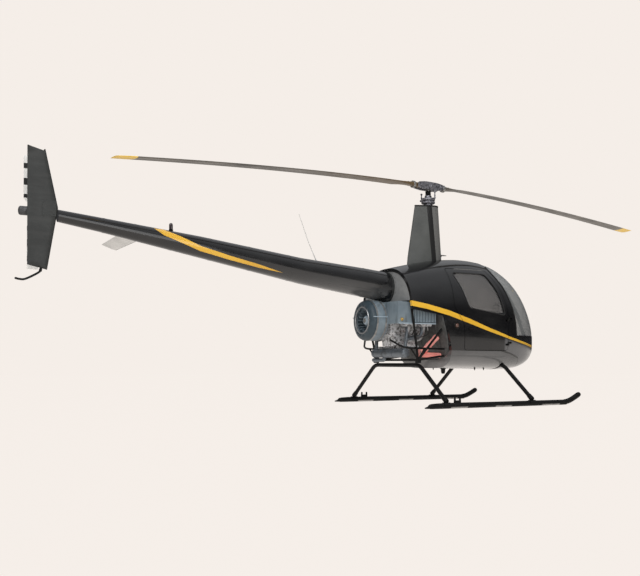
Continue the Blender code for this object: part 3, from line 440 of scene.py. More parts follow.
def lamp_lens(name, colour, glow):
    """Clear moulded lens over a reflector, ribbed in rings."""
    lens = Finish(name, "lens", IOR=1.5, Coat_Weight=0.5, Coat_Roughness=0.02)
    ribs = lens.noise(60.0, 1.0)
    lens.coat(lens.blend(colour, tuple(0.4 * c for c in colour), ribs), 0.08 + ribs * 0.06)
    lens.bump(ribs, 0.001, 0.2)
    lens.put(lens.shader.inputs["Emission Color"], tuple(glow * c for c in colour))
    lens.put(lens.shader.inputs["Emission Strength"], 1.0)
    return lens


body_paint = gloss_paint("gloss_black_gold_stripe", STRIPE_TOP, STRIPE_FOOT, belly=True)
boom_paint = gloss_paint("gloss_black_gold_sweep", SWEEP_TOP, SWEEP_FOOT)
dull_paint = plain_paint("dull_charcoal", "dull", (0.032, 0.034, 0.033), (0.08, 0.08, 0.077), 0.45, 0.35, 0.3)
mast_paint = fairing_paint()
grey_paint = plain_paint("bulkhead_grey", "dull", (0.26, 0.265, 0.265), (0.05, 0.05, 0.05), 0.5, 0.7)
# The firewall's dark grey is painted shade, standing in for the shadow that falls on it in the bay
shaded_firewall = plain_paint("firewall_painted_shade", "metal", (0.075, 0.077, 0.075), (0.30, 0.30, 0.29), 0.6, 0.9)
gear_paint = plain_paint("gear_black", "gear", (0.004, 0.004, 0.004), (0.03, 0.029, 0.027), 0.5, 0.6, 0.16)
pale_paint = plain_paint("faded_white", "pale", (0.66, 0.66, 0.645), (0.40, 0.39, 0.37), 0.45, 0.5)
# The two castings below carry painted shade as dark patches among their parts
cast_metal = bare_metal(
    "cast_aluminium", "metal", (0.84, 0.85, 0.87), 0.40, (0.05, 0.045, 0.04), shine=0.2, painted_shade=0.8,
)
hub_metal = bare_metal("hub_aluminium", "metal", (0.30, 0.30, 0.33), 0.45, (0.04, 0.038, 0.04), painted_shade=0.6)
dark_casting = bare_metal("dark_casting", "metal", (0.10, 0.10, 0.105), 0.45, (0.03, 0.03, 0.03), shine=0.4)
sheet_metal = bare_metal(
    "sheet_aluminium", "metal", (0.40, 0.41, 0.42), 0.36, (0.09, 0.085, 0.075), (0.15, 1.0, 1.0),
)
steel = bare_metal("worn_steel", "steel", (0.34, 0.335, 0.325), 0.34, (0.05, 0.042, 0.034), (1.0, 1.0, 0.2))
exhaust_steel = bare_metal("heat_blued_steel", "steel", (0.20, 0.225, 0.25), 0.48, (0.06, 0.055, 0.05))
brass = bare_metal("brass_fitting", "metal", (0.60, 0.40, 0.12), 0.35, (0.10, 0.07, 0.03))
shroud_sheet = laminate("blue_grey_laminate")
slate_sheet = plain_paint("dark_slate", "shroud", (0.030, 0.050, 0.064), (0.10, 0.13, 0.15), 0.45, 0.4)
fan_paint = plain_paint("fan_blue_grey", "shroud", (0.34, 0.42, 0.48), (0.55, 0.60, 0.63), 0.5, 0.4)
red_hose = moulded("faded_red_hose", "duct", (0.95, 0.36, 0.31), 0.62, 160.0)
rubber = moulded("black_rubber", "trim", (0.014, 0.014, 0.014), 0.62)
cabin_trim = moulded("dark_trim", "trim", (0.030, 0.030, 0.031), 0.48)
cabin_lining = moulded("grey_lining", "trim", (0.115, 0.115, 0.112), 0.7)
dial_black = moulded("instrument_black", "trim", (0.006, 0.006, 0.006), 0.3)
dial_white = moulded("dial_marks", "pale", (0.75, 0.75, 0.72), 0.4)
seat_cloth = woven("charcoal_cloth", (0.062, 0.062, 0.068), (0.13, 0.13, 0.135))
webbing = woven("belt_webbing", (0.035, 0.035, 0.037), (0.07, 0.07, 0.07))
screen_finish = clear_pane("screen_acrylic", (0.22, 0.23, 0.23), 0.28)
pane_finish = clear_pane("door_acrylic", (0.02, 0.02, 0.021), 0.42)
rotor_paint = blade_paint("rotor_blade_paint", "blade", ROTOR_RADIUS - 0.20, (0.80, 0.52, 0.06))
tail_blade_paint = banded_blade("banded_white")
amber_lens = lamp_lens("amber_lens", (0.13, 0.055, 0.035), 0.02)
smoked_lens = lamp_lens("smoked_lens", (0.035, 0.018, 0.022), 0.01)
red_lens = lamp_lens("red_lens", (0.60, 0.06, 0.04), 0.04)


def catmull(a, b, c, d, t):
    return 0.5 * (2 * b + (c - a) * t + (2 * a - 5 * b + 4 * c - d) * t**2 + (3 * b - a - 3 * c + d) * t**3)


def smooth_rows(table, steps):
    """Catmull-Rom rows between a table's rows, steps to each interval."""
    rows = []
    last = len(table) - 1
    for i in range(last):
        four = [table[min(max(i + k, 0), last)] for k in (-1, 0, 1, 2)]
        for k in range(steps):
            rows.append(tuple(catmull(*column, k / steps) for column in zip(*four)))
    rows.append(tuple(table[-1]))
    return rows


def rounded(points, radius, steps=6, closed=False):
    """Route or outline with its corners rounded off."""
    points = [Vector(p) for p in points]
    count = len(points)
    route = [] if closed else [points[0]]
    for i in range(count) if closed else range(1, count - 1):
        before, corner, after = points[i - 1], points[i], points[(i + 1) % count]
        cut_back = min(radius, 0.48 * (before - corner).length, 0.48 * (after - corner).length)
        start = corner + (before - corner).normalized() * cut_back
        end = corner + (after - corner).normalized() * cut_back
        for k in range(steps + 1):
            t = k / steps
            route.append((1 - t) ** 2 * start + 2 * t * (1 - t) * corner + t**2 * end)
    return route if closed else route + [points[-1]]


def grown(outline, margin):
    """Outline moved outwards by margin with mitred corners."""
    points = [Vector(p) for p in outline]
    count = len(points)
    area = sum(a.x * b.y - b.x * a.y for a, b in zip(points, points[1:] + points[:1]))
    turn = 1 if area > 0 else -1
    result = []
    for i in range(count):
        before, here, after = points[i - 1], points[i], points[(i + 1) % count]
        first, second = (here - before).normalized(), (after - here).normalized()
        normal = turn * Vector((first.y, -first.x))
        middle = (normal + turn * Vector((second.y, -second.x))).normalized()
        result.append(here + middle * margin / middle.dot(normal))
    return result


def around(count):
    """Angles of count even steps around a circle."""
    return [2 * math.pi * i / count for i in range(count)]


def arc(radius, first, last, count):
    """Points of an arc about the origin between two angles in degrees."""
    angles = np.linspace(math.radians(first), math.radians(last), count)
    return [(radius * math.cos(a), radius * math.sin(a)) for a in angles]


def oblong(middle, half, low, high):
    """Four corners of an upright rectangle."""
    return ((middle - half, low), (middle + half, low), (middle + half, high), (middle - half, high))


def cuff(start, end, inner, outer):
    """Rectangular section of a ring that lies between two distances and two radii."""
    return ((start, inner), (start, outer), (end, outer), (end, inner))


def row_at(value, rows):
    """The rest of a table's row at this value of its first column."""
    firsts, *others = zip(*rows)
    return [float(np.interp(value, firsts, column)) for column in others]


def ring(centre, radius, along, sides):
    """Round ring of points about centre, square to along."""
    along = Vector(along).normalized()
    helper = Vector(UP) if abs(along.z) < 0.9 else Vector(FORWARD)
    across = helper.cross(along).normalized()
    up = along.cross(across)
    return [Vector(centre) + radius * (math.cos(a) * across + math.sin(a) * up) for a in around(sides)]


class Shape:
    """Points and faces gathered for one piece."""

    def __init__(self):
        self.points = []
        self.faces = []

    def add(self, points, faces):
        volume = 0.0
        for face in faces:
            a = points[face[0]]
            for i, j in zip(face[1:], face[2:]):
                volume += a.dot(points[i].cross(points[j]))
        start = len(self.points)
        self.points += points
        for face in faces:
            order = face if volume > 0 else face[::-1]
            self.faces.append(tuple(start + i for i in order))
        return self

    def loft(self, rings, closed=False):
        """Skin through rings of equal counts, capped at its ends unless it closes on itself."""
        count, total = len(rings[0]), len(rings)
        points = [Vector(p) for one in rings for p in one]
        faces = []
        for k in range(total if closed else total - 1):
            here, there = k * count, ((k + 1) % total) * count
            for i in range(count):
                j = (i + 1) % count
                faces.append((here + i, here + j, there + j, there + i))
        if not closed:
            faces.append(tuple(range(count))[::-1])
            faces.append(tuple(range(len(points) - count, len(points))))
        return self.add(points, faces)

    def rod(self, start, end, radius, sides=24):
        along = Vector(end) - Vector(start)
        return self.loft([ring(start, radius, along, sides), ring(end, radius, along, sides)])

    def turn(self, profile, centre, along, sides=48):
        """Solid of revolution from distances along the axis and radii."""
        along = Vector(along).normalized()
        return self.loft([ring(Vector(centre) + along * d, r, along, sides) for d, r in profile])

    def hoop(self, profile, centre, along, sides=48):
        """Closed ring whose section is a loop of distances along the axis and radii."""
        along = Vector(along).normalized()
        loops = [ring(Vector(centre) + along * d, r, along, sides) for d, r in profile]
        return self.loft(loops, closed=True)

    def box(self, low, high):
        (x0, y0, z0), (x1, y1, z1) = low, high
        flat = [(x0, y0), (x1, y0), (x1, y1), (x0, y1)]
        return self.loft([[(x, y, z) for x, y in flat] for z in (z0, z1)])

    def prism(self, outline, y0, y1):
        return self.loft([[(p[0], y, p[1]) for p in outline] for y in (y0, y1)])

    def slab(self, outline, x0, x1):
        """Outline of y, z points drawn out from x0 to x1."""
        return self.loft([[(x, p[0], p[1]) for p in outline] for x in (x0, x1)])

    def plate(self, outline, z0, z1):
        return self.loft([[(p[0], p[1], z) for p in outline] for z in (z0, z1)])

    def tube(self, route, radius, sides=20, flat=1.0):
        """Tube along a route. radius may be a function of the share of the way. flat thins it one way."""
        route = [Vector(p) for p in route]
        side = Vector(LEFT)
        if abs((route[1] - route[0]).normalized().y) > 0.9:
            side = Vector(FORWARD)
        rings = []
        for i, here in enumerate(route):
            along = (route[min(i + 1, len(route) - 1)] - route[max(i - 1, 0)]).normalized()
            up = along.cross(side).normalized()
            side = up.cross(along).normalized()
            size = radius(i / (len(route) - 1)) if callable(radius) else radius
            turns = [2 * math.pi * (k + 0.5) / sides for k in range(sides)]
            rings.append([here + size * (math.cos(a) * side + flat * math.sin(a) * up) for a in turns])
        return self.loft(rings)

    def ball(self, centre, radius, sides=24):
        steps = sides // 2
        turns = [math.pi * (k + 0.25) / (steps + 0.5) for k in range(steps + 1)]
        profile = [(-radius * math.cos(t), radius * math.sin(t)) for t in turns]
        return self.turn(profile, centre, UP, sides)

    def bolt(self, place, along, size=0.006):
        """Hexagon head on a washer."""
        along = Vector(along).normalized()
        place = Vector(place)
        self.loft([ring(place + along * d, 1.15 * size, along, 16) for d in (0.0, 0.25 * size)])
        return self.loft([ring(place + along * d * size, size, along, 6) for d in (0.2, 1.0)])

    def strap(self, route, width, thick, across=LEFT):
        """Flat webbing along a route."""
        route = [Vector(p) for p in route]
        across = Vector(across).normalized()
        rings = []
        for i, here in enumerate(route):
            along = (route[min(i + 1, len(route) - 1)] - route[max(i - 1, 0)]).normalized()
            up = along.cross(across).normalized()
            corners = ((-1, -1), (1, -1), (1, 1), (-1, 1))
            rings.append([here + across * a * width / 2 + up * b * thick / 2 for a, b in corners])
        return self.loft(rings)

    def moved(self, matrix):
        self.points = [matrix @ p for p in self.points]
        return self

    def thing(self):
        """A loose mesh object for a Boolean."""
        mesh = bpy.data.meshes.new("cutter")
        mesh.from_pydata(self.points, [], self.faces)
        made = bpy.data.objects.new("cutter", mesh)
        bpy.context.scene.collection.objects.link(made)
        return made

    def piece(self, name, finish, rides="airframe", stands_for=(), bevel=0.0, crease=38):
        return settle(self.thing(), name, finish, rides, stands_for, bevel, crease)


def settle(made, name, finish, rides="airframe", stands_for=(), bevel=0.0, crease=38):
    """Names a mesh object, gives it its finish and smooth shading, hangs it on its body and hides the nodes
    that it stands for.
    """
    made.name = name
    made.data.name = name
    made.data.transform(Matrix.Translation(MAST))
    if not made.data.materials:
        made.data.materials.append(finish.material)
    if not made.data.has_custom_normals:
        made.data.shade_smooth()
        made.data.set_sharp_from_angle(angle=math.radians(crease))
    if bevel:
        edge = made.modifiers.new("edges", "BEVEL")
        edge.width = bevel
        edge.segments = 2
        edge.limit_method = "ANGLE"
        edge.angle_limit = math.radians(35)
    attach(made, rides)
    if stands_for:
        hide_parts(*stands_for)
    return made


def dress(node, finish):
    """Gives a carried-over solid its finish."""
    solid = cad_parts[node]
    solid.data.materials.clear()
    solid.data.materials.append(finish.material)
    return solid


def apply_all(made):
    graph = bpy.context.evaluated_depsgraph_get()
    mesh = bpy.data.meshes.new_from_object(made.evaluated_get(graph))
    made.modifiers.clear()
    made.data = mesh
    return made


def combine(target, tool, operation):
    modifier = target.modifiers.new("combine", "BOOLEAN")
    modifier.operation = operation
    modifier.solver = "EXACT"
    modifier.object = tool
    apply_all(target)
    bpy.data.objects.remove(tool, do_unlink=True)
    return target


def cut(target, *tools):
    for tool in tools:
        combine(target, tool, "DIFFERENCE")
    return target


def within(target, tool):
    return combine(target, tool, "INTERSECT")


def twin_of(thing):
    twin = thing.copy()
    twin.data = thing.data.copy()
    bpy.context.scene.collection.objects.link(twin)
    return twin


def prism(outline, y0, y1):
    return Shape().prism(outline, y0, y1).thing()


def side_prism(outline, side, inner=0.02):
    return prism(outline, *sorted((side * inner, side * BEYOND)))


def box(low, high):
    return Shape().box(low, high).thing()


def power_point(angle, power):
    c, s = math.cos(angle), math.sin(angle)
    return math.copysign(abs(c) ** (2 / power), c), math.copysign(abs(s) ** (2 / power), s)


def hull(inset=0.0, floor=None, aft=0.0, nose=0.0):
    """The body as one solid, its skin set in, drawn out behind by aft and cut short by nose."""
    floor = inset if floor is None else floor
    rings = []
    for x, half, low, middle, high in smooth_rows(BODY, BODY_STEPS):
        short = min(half - inset, high - inset - middle, middle - low - floor)
        if x > BODY[-1][0] - nose or short < 0.02:
            break
        one = []
        for i in range(BODY_ROUND):
            angle = 2 * math.pi * (i + 0.5) / BODY_ROUND
            upper = math.sin(angle) > 0
            across, up = power_point(angle, ROOF_POWER if upper else BELLY_POWER)
            reach = high - inset - middle if upper else middle - low - floor
            one.append((x, across * (half - inset), middle + up * reach))
        rings.append(one)
    if aft:
        rings.insert(0, [(x - aft, y, z) for x, y, z in rings[0]])
    return Shape().loft(rings).thing()


SPINE = np.array(smooth_rows(BODY, 40))


def skin_level(points, inset, floor):
    """Below 0 inside the body's surface, 0 on it and above 0 outside."""
    x = points[:, 0]
    half, low, middle, high = (np.interp(x, SPINE[:, 0], SPINE[:, k]) for k in (1, 2, 3, 4))
    rise = points[:, 2] - middle
    upper = rise > 0
    power = np.where(upper, ROOF_POWER, BELLY_POWER)
    reach = np.where(upper, high - inset - middle, middle - low - floor)
    return (np.abs(points[:, 1]) / (half - inset)) ** power + (np.abs(rise) / reach) ** power - 1


def skin_normals(points, inset, floor):
    """Unit normals of the surface through each point, and each point's distance from it."""
    step = 0.0005
    level = skin_level(points, inset, floor)
    slopes = []
    for k in range(3):
        shift = np.zeros(3)
        shift[k] = step
        slopes.append(
            (skin_level(points + shift, inset, floor) - skin_level(points - shift, inset, floor)) / (2 * step)
        )
    slope = np.array(slopes).T
    size = np.linalg.norm(slope, axis=1) + 1e-9
    return slope / size[:, None], np.abs(level) / size


def lay_skin(made, inset, floor, lining=None):
    """Shades a cut shell by the true surface that its points lie on, and gives its inner side the lining."""
    mesh = made.data
    mesh.materials.clear()
    for finish in (body_paint, lining or body_paint):
        mesh.materials.append(finish.material)
    count = len(mesh.vertices)
    flat = np.zeros(count * 3)
    mesh.vertices.foreach_get("co", flat)
    points = flat.reshape(-1, 3)
    outer, outer_gap = skin_normals(points, 0.0, 0.0)
    inner, inner_gap = skin_normals(points, inset, floor)
    normals = []
    near = 0.002
    for face in mesh.polygons:
        plain = np.array(face.normal)
        lined = False
        for v in face.vertices:
            if outer_gap[v] < near and outer[v] @ plain > 0.85:
                normals.append(tuple(outer[v]))
            elif inner_gap[v] < near and -inner[v] @ plain > 0.85:
                normals.append(tuple(-inner[v]))
                lined = True
            else:
                normals.append(tuple(plain))
        face.material_index = 1 if lined else 0
    mesh.shade_smooth()
    mesh.normals_split_custom_set(normals)
    return made


def build_cabin():
    shell = cut(hull(), hull(WALL, FLOOR, aft=0.1, nose=0.03), prism(BAY_CUT, -BEYOND, BEYOND))
    thin = cut(hull(GLASS_SET_IN), hull(GLASS_SET_IN + GLASS, aft=0.1))
    door_line = rounded(DOOR, 0.035, closed=True)
    window_line = rounded(DOOR_WINDOW, 0.045, closed=True)
    screen_line = WINDSHIELD[:1] + tuple(
        tuple(p)
        for p in rounded(WINDSHIELD[:6], 0.06)[1:-1]
    ) + WINDSHIELD[5:]
    for side, word in SIDES:
        rides = word + "_door"
        door = within(twin_of(shell), side_prism(door_line, side, 0.15))
        cut(door, side_prism(window_line, side))
        settle(
            lay_skin(door, WALL, FLOOR, cabin_lining), "door_panel_" + word, body_paint, rides,
            ["door_" + word],
        )
        pane = within(twin_of(thin), side_prism(grown(window_line, -PANE_EDGE), side))
        lay_pane(pane, "door_pane_" + word, pane_finish, rides, "door_glass_" + word)
        cut(shell, side_prism(grown(door_line, RUNNING), side, 0.15))
        screen = within(
            twin_of(thin), side_prism(grown(screen_line, -PANE_EDGE), side, HALF_POST + PANE_EDGE),
        )
        lay_pane(screen, "screen_pane_" + word, screen_finish, "airframe", "windshield_" + word)
        cut(shell, side_prism(screen_line, side, HALF_POST))
        seal = Shape().tube([skin_point(p[0], p[1], side) for p in dense_line(window_line)], 0.0055, 10)
        seal.piece("window_seal_" + word, rubber, rides)
        aft_edge = dense_line(screen_line[1:-2], closed=False)
        strip = Shape().tube([skin_point(p[0], p[1], side) for p in aft_edge], 0.0085, 12, 0.6)
        strip.piece("screen_seal_" + word, rubber)
    bpy.data.objects.remove(thin, do_unlink=True)
    cowl = within(twin_of(shell), box((-1.0, -BEYOND, 0.2), (SPLIT_X - GAP, BEYOND, 1.9)))
    cut(cowl, prism(((-0.30, 0.2), (0.2, 0.2), (0.2, COWL_FOOT), (-0.45, COWL_FOOT)), -BEYOND, BEYOND))
    roof = within(twin_of(shell), prism(ROOF_SPLIT, -BEYOND, BEYOND))
    cut(roof, box((-1.0, -BEYOND, 0.2), (SPLIT_X, BEYOND, 1.9)))
    tub = cut(shell, prism(grown(ROOF_SPLIT, GAP), -BEYOND, BEYOND))
    slot_half = CROSS_RADIUS + GAP
    slot = box((CROSS_X[0] - slot_half, -BEYOND, 0.3), (CROSS_X[0] + slot_half, BEYOND, CROSS_Z + slot_half))
    cut(tub, box((-1.0, -BEYOND, COWL_FOOT - GAP), (SPLIT_X, BEYOND, 1.9)), slot)
    settle(lay_skin(tub, WALL, FLOOR, cabin_lining), "cabin_lower_skin", body_paint, stands_for=["cabin_tub"])
    settle(
        lay_skin(roof, WALL, FLOOR, cabin_lining), "cabin_upper_skin", body_paint, stands_for=["cabin_roof"],
    )
    settle(lay_skin(cowl, WALL, FLOOR, cabin_trim), "cowl_skin", body_paint, stands_for=["aft_cowl"])


def lay_pane(pane, name, finish, rides, node):
    lay_skin(pane, GLASS_SET_IN + GLASS, GLASS_SET_IN + GLASS)
    pane.data.materials.clear()
    pane.data.materials.append(finish.material)
    for face in pane.data.polygons:
        face.material_index = 0
    settle(pane, name, finish, rides, [node])


def skin_point(x, z, side):
    """Point of the body's skin at this x and z."""
    half, low, middle, high = (float(np.interp(x, SPINE[:, 0], SPINE[:, k])) for k in (1, 2, 3, 4))
    power, reach = (ROOF_POWER, high - middle) if z > middle else (BELLY_POWER, middle - low)
    share = min(1.0, abs(z - middle) / reach)
    return Vector((x, side * half * (1 - share**power) ** (1 / power), z))


def dense_line(outline, closed=True):
    """Outline with points about every 20 mm along it."""
    step = 0.02
    points = [Vector((p[0], p[1])) for p in outline]
    line = []
    for a, b in zip(points, points[1:] + points[:1] if closed else points[1:]):
        parts = max(1, round((b - a).length / step))
        line += [a.lerp(b, k / parts) for k in range(parts)]
    return line + [points[0] if closed else points[-1]]


def hinge_half(side, z, ahead, name, rides):
    """Knuckle, leaf and foot of one hinge half. ahead is 1 on the body and -1 on the door."""
    y = side * HINGE_Y
    low, high = (z + GAP, z + 0.022) if ahead > 0 else (z - 0.022, z - GAP)
    shape = Shape().rod((HINGE_X, y, low), (HINGE_X, y, high), 0.006)
    near, far = sorted((0.0, ahead * 0.040))
    shape.box((HINGE_X + near, y - 0.003, low), (HINGE_X + far, y + 0.003, high))
    near, far = sorted((ahead * 0.020, ahead * 0.040))
    inside, outside = sorted((side * 0.522, y + side * 0.003))
    shape.box((HINGE_X + near, inside, low), (HINGE_X + far, outside, high))
    shape.piece(name, gear_paint, rides, bevel=0.0008)


def build_door_parts():
    for side, word in SIDES:
        rides = word + "_door"
        for z, level in ((0.70, "lower"), (0.98, "upper")):
            hinge_half(side, z, 1, "hinge_%s_body_%s" % (level, word), "airframe")
            hinge_half(side, z, -1, "hinge_%s_door_%s" % (level, word), rides)
        handle = Shape()
        x, z = 0.175, 0.865
        handle.rod((x, side * 0.552, z), (x, side * 0.575, z), 0.013)
        lever = rounded(
            ((x, side * 0.573, z), (0.20, side * 0.577, 0.863), (0.262, side * 0.573, 0.857)), 0.01,
        )
        handle.tube(lever, 0.0065, 16)
        handle.piece("door_handle_" + word, gear_paint, rides, bevel=0.001)
        vent = Shape()
        vent.hoop(
            ((0, 0.044), (0.004, 0.047), (0.007, 0.044), (0.004, 0.041)), (0.58, side * 0.517, 1.105),
            (0, side, -0.22),
        )
        vent.piece("window_vent_" + word, cabin_trim, rides)


def boom_at(x):
    """Centre height and radius of the tail boom at x."""
    xs = [-row[0] for row in BOOM]
    return float(np.interp(-x, xs, [r[1] for r in BOOM])), float(np.interp(-x, xs, [r[2] for r in BOOM]))


def boom_rings(xs, proud=0.0, sides=72):
    rings = []
    for x in xs:
        z, radius = boom_at(x)
        rings.append(ring((x, 0, z), radius + proud, FORWARD, sides))
    return rings


def dome(shape, place, out, radius=0.0026):
    """Low rivet head."""
    out = Vector(out).normalized()
    shape.turn(((-0.0006, radius), (0.0006, 0.85 * radius), (0.0013, 0.35 * radius)), place, out, 8)


def build_tail():
    xs = [row[0] for row in BOOM]
    Shape().loft(boom_rings(xs)).piece("boom_skin", boom_paint, stands_for=["tailcone"])
    bands, rivets = Shape(), Shape()
    for seam in BOOM_SEAMS:
        bands.loft(boom_rings((seam - 0.011, seam + 0.011), 0.0007))
        count = int(2 * math.pi * boom_at(seam)[1] / 0.030)
        for row_x in (seam - 0.006, seam + 0.006):
            z, radius = boom_at(row_x)
            for a in around(count):
                out = Vector((0, math.cos(a), math.sin(a)))
                dome(rivets, Vector((row_x, 0, z)) + out * (radius + 0.0007), out)
    for angle in (90, -62, -118):
        a = math.radians(angle)
        out = Vector((0, math.cos(a), math.sin(a)))
        x = -0.62
        while x > -4.16:
            z, radius = boom_at(x)
            dome(rivets, Vector((x, 0, z)) + out * radius, out, 0.0022)
            x -= 0.034
    bands.piece("boom_bands", boom_paint)
    rivets.piece("boom_rivets", boom_paint)
    root = Shape().loft(boom_rings((-0.5758, -0.600), 0.004))
    bolts_x = -0.588
    z, radius = boom_at(bolts_x)
    for a in around(18):
        out = Vector((0, math.cos(a), math.sin(a)))
        root.bolt(Vector((bolts_x, 0, z)) + out * (radius + 0.0035), out, 0.005)
    root.piece("boom_root_collar", dull_paint)
    build_fin()
    build_stabiliser()
    build_tail_rotor()


# Fin outline as x, z, from its lower aft corner round the leading edge
FIN = ((-4.466, 1.379), (-4.295, 1.346), (-4.198, 1.919), (-4.311, 2.452), (-4.466, 2.475))
FIN_RIGHT, FIN_LEFT = -0.068, -0.032


def build_fin():
    """Fin of a thin foil section, its leading edge capped in black."""
    rows = []
    (trail_x, low_aft_z), (low_x, low_z), (nose_x, nose_z), (high_x, high_z), (_, top_z) = FIN
    heights = np.linspace(low_z, top_z, 30)
    middle, half = (FIN_RIGHT + FIN_LEFT) / 2, (FIN_LEFT - FIN_RIGHT) / 2
    shape = ((0, 0), (0.015, 0.45), (0.06, 0.8), (0.2, 1.0), (0.5, 0.9), (0.8, 0.5), (1.0, 0.12))
    for z in heights:
        back = np.interp(z, [low_z, low_aft_z], [low_x, trail_x])
        if z > high_z:
            front = np.interp(z, [high_z, top_z], [high_x, trail_x + 0.002])
        else:
            front = np.interp(z, [low_z, nose_z, high_z], [low_x, nose_x, high_x])
        front = max(front, back + 0.002)
        one = [(front - f * (front - back), middle + h * half, z) for f, h in shape]
        other = [(front - f * (front - back), middle - h * half, z) for f, h in shape[:0:-1]]
        rows.append(one + other)
    fin = Shape().loft(rows).thing()
    end_x, end_z, end_radius = BOOM[-1]
    cut(
        fin,
        Shape().rod((end_x - 0.02, 0, end_z), (end_x + 0.03, 0, end_z), end_radius + GAP, sides=48).thing(),
    )
    settle(fin, "fin_skin", dull_paint, stands_for=["tail_fin"], crease=50)
    cap = Shape()
    for (x0, z0), (x1, z1) in zip(FIN[1:3], FIN[2:4]):
        cap.rod((x0 - 0.004, middle, z0), (x1 - 0.004, middle, z1), 0.0075, sides=16)
    cap.piece("fin_leading_edge", gear_paint)
    plates = Shape()
    plates.box((-4.34, FIN_RIGHT - 0.0015, 1.84), (-4.215, FIN_RIGHT + 0.003, 1.98))
    for x in (-4.325, -4.235):
        for z in (1.856, 1.91, 1.964):
            plates.bolt((x, FIN_RIGHT - 0.0015, z), RIGHT, 0.0045)
    plates.piece("fin_mount_plate", dull_paint, bevel=0.0006)
    skid = Shape()
    points = (
        (-4.345, 1.362), (-4.352, 1.330), (-4.400, 1.295), (-4.484, 1.252), (-4.530, 1.249), (-4.565, 1.256),
    )
    skid.tube(smooth_rows([(x, middle, z) for x, z in points], 6), 0.010, 18)
    skid.ball((-4.565, middle, 1.256), 0.010)
    skid.rod((-4.352, middle, 1.327), (-4.347, middle, 1.352), 0.0135)
    skid.piece("tail_guard_tube", gear_paint, stands_for=["tail_skid"])


def build_stabiliser():
    corners = ((0.050, -3.336, 1.727, -3.535, 1.781), (0.700, -3.455, 1.660, -3.605, 1.705))
    shape = ((0, 0), (0.02, 0.5), (0.08, 0.85), (0.25, 1.0), (0.5, 0.85), (0.75, 0.5), (1.0, 0.08))
    thickness = 0.022
    rows = []
    for t in np.linspace(0, 1, 14):
        y, lx, lz, tx, tz = ((1 - t) * a + t * b for a, b in zip(*corners))
        lead, trail = Vector((lx, y, lz)), Vector((tx, y, tz))
        along = trail - lead
        normal = Vector((-along.z, 0, along.x)).normalized() * thickness / 2
        size = 1.0 if t < 0.95 else 0.72
        over = [lead + along * f + normal * h * size for f, h in shape]
        under = [lead + along * f - normal * h * size for f, h in shape[:0:-1]]
        rows.append(over + under)
    wing = Shape().loft(rows).thing()
    cut(wing, Shape().loft(boom_rings([row[0] for row in BOOM], GAP)).thing())
    settle(wing, "stabiliser_skin", pale_paint, stands_for=["stabiliser"], crease=50)
    edge = Shape()
    y0, lx0, lz0, _, _ = corners[0]
    y1, lx1, lz1, _, _ = corners[1]
    start = Vector((lx0, y0, lz0)).lerp(Vector((lx1, y1, lz1)), 0.12)
    edge.rod(start + Vector((-0.002, 0, 0)), (lx1 - 0.002, y1, lz1), 0.0048, sides=14)
    edge.piece("stabiliser_leading_edge", gear_paint)


def build_tail_rotor():
    build_tail_case()
    build_tail_hub()
    build_tail_blades()


def build_tail_case():
    x, _, z = TAIL_AXIS
    case = Shape()
    case.turn(
        ((0.0, 0.030), (0.012, 0.046), (0.05, 0.052), (0.10, 0.050), (0.13, 0.040)), (-4.215, 0.022, 1.885),
        AFT, 40,
    )
    case.turn(
        ((0.0, 0.030), (0.010, 0.041), (0.16, 0.042), (0.172, 0.036), (0.178, 0.020)), (-4.352, 0.03, 1.885),
        AFT, 40,
    )
    case.turn(
        ((-0.03, 0.046), (0.02, 0.044), (0.035, 0.034), (0.055, 0.032), (0.059, 0.024)), (x, 0.066, z), LEFT,
        36,
    )
    case.box((-4.465, FIN_LEFT + GAP, 1.845), (-4.30, 0.015, 1.92))
    for a in around(8):
        case.bolt((-4.345, 0.022 + 0.048 * math.cos(a), 1.885 + 0.048 * math.sin(a)), AFT, 0.0042)
    case.piece("tail_gear_case", dark_casting, stands_for=["tail_gearbox"], bevel=0.0015)
    glass = Shape().rod((-4.46, 0.062, 1.862), (-4.46, 0.076, 1.862), 0.011)
    glass.piece("tail_oil_sight", brass, bevel=0.001)


def build_tail_hub():
    x, y, z = TAIL_AXIS
    hub = Shape()
    hub.turn(
        (
            (0.0003, 0.014), (0.05, 0.014), (0.052, 0.030), (0.060, 0.040), (0.092, 0.040), (0.098, 0.028),
            (0.105, 0.014),
        ),
        (x, 0.125, z), LEFT, 36,
    )
    for side in (1, -1):
        hub.rod((x, y, z + side * 0.02), (x, y, z + side * 0.10), 0.016)
        hub.rod((x - 0.030, y, z + side * 0.060), (x + 0.030, y, z + side * 0.060), 0.008)
        hub.box(
            (x - 0.020, y - 0.012, z + side * 0.085 - 0.022),
            (x + 0.016, y + 0.012, z + side * 0.085 + 0.022),
        )
        for out in (0.078, 0.098):
            hub.bolt((x - 0.005, y + 0.012, z + side * out), LEFT, 0.005)
    hub.piece("tail_rotor_hub", steel, "tail_rotor_body", ["tail_rotor"], bevel=0.0012)


def build_tail_blades():
    x, y, z = TAIL_AXIS
    chord = 0.10
    section = ((0, 0), (0.02, 0.42), (0.08, 0.8), (0.3, 1.0), (0.6, 0.75), (0.85, 0.3), (1.0, 0.06))
    for side, word in ((1, "upper"), (-1, "lower")):
        rows = []
        for radius in (0.09, 0.115, 0.13, 0.16, 0.25, 0.35, 0.45, 0.525, 0.533):
            width = float(np.interp(radius, [0.09, 0.13], [0.045, chord]))
            thick = float(np.interp(radius, [0.09, 0.13, 0.533], [0.016, 0.014, 0.011]))
            width = width * (0.94 if radius > 0.53 else 1.0)
            one = [(x + side * width * (0.35 - f), y + h * thick / 2, z + side * radius) for f, h in section]
            two = section[:0:-1]
            other = [(x + side * width * (0.35 - f), y - h * thick / 2, z + side * radius) for f, h in two]
            rows.append(one + other)
        Shape().loft(rows).piece("tail_blade_" + word, tail_blade_paint, "tail_rotor_body", crease=50)


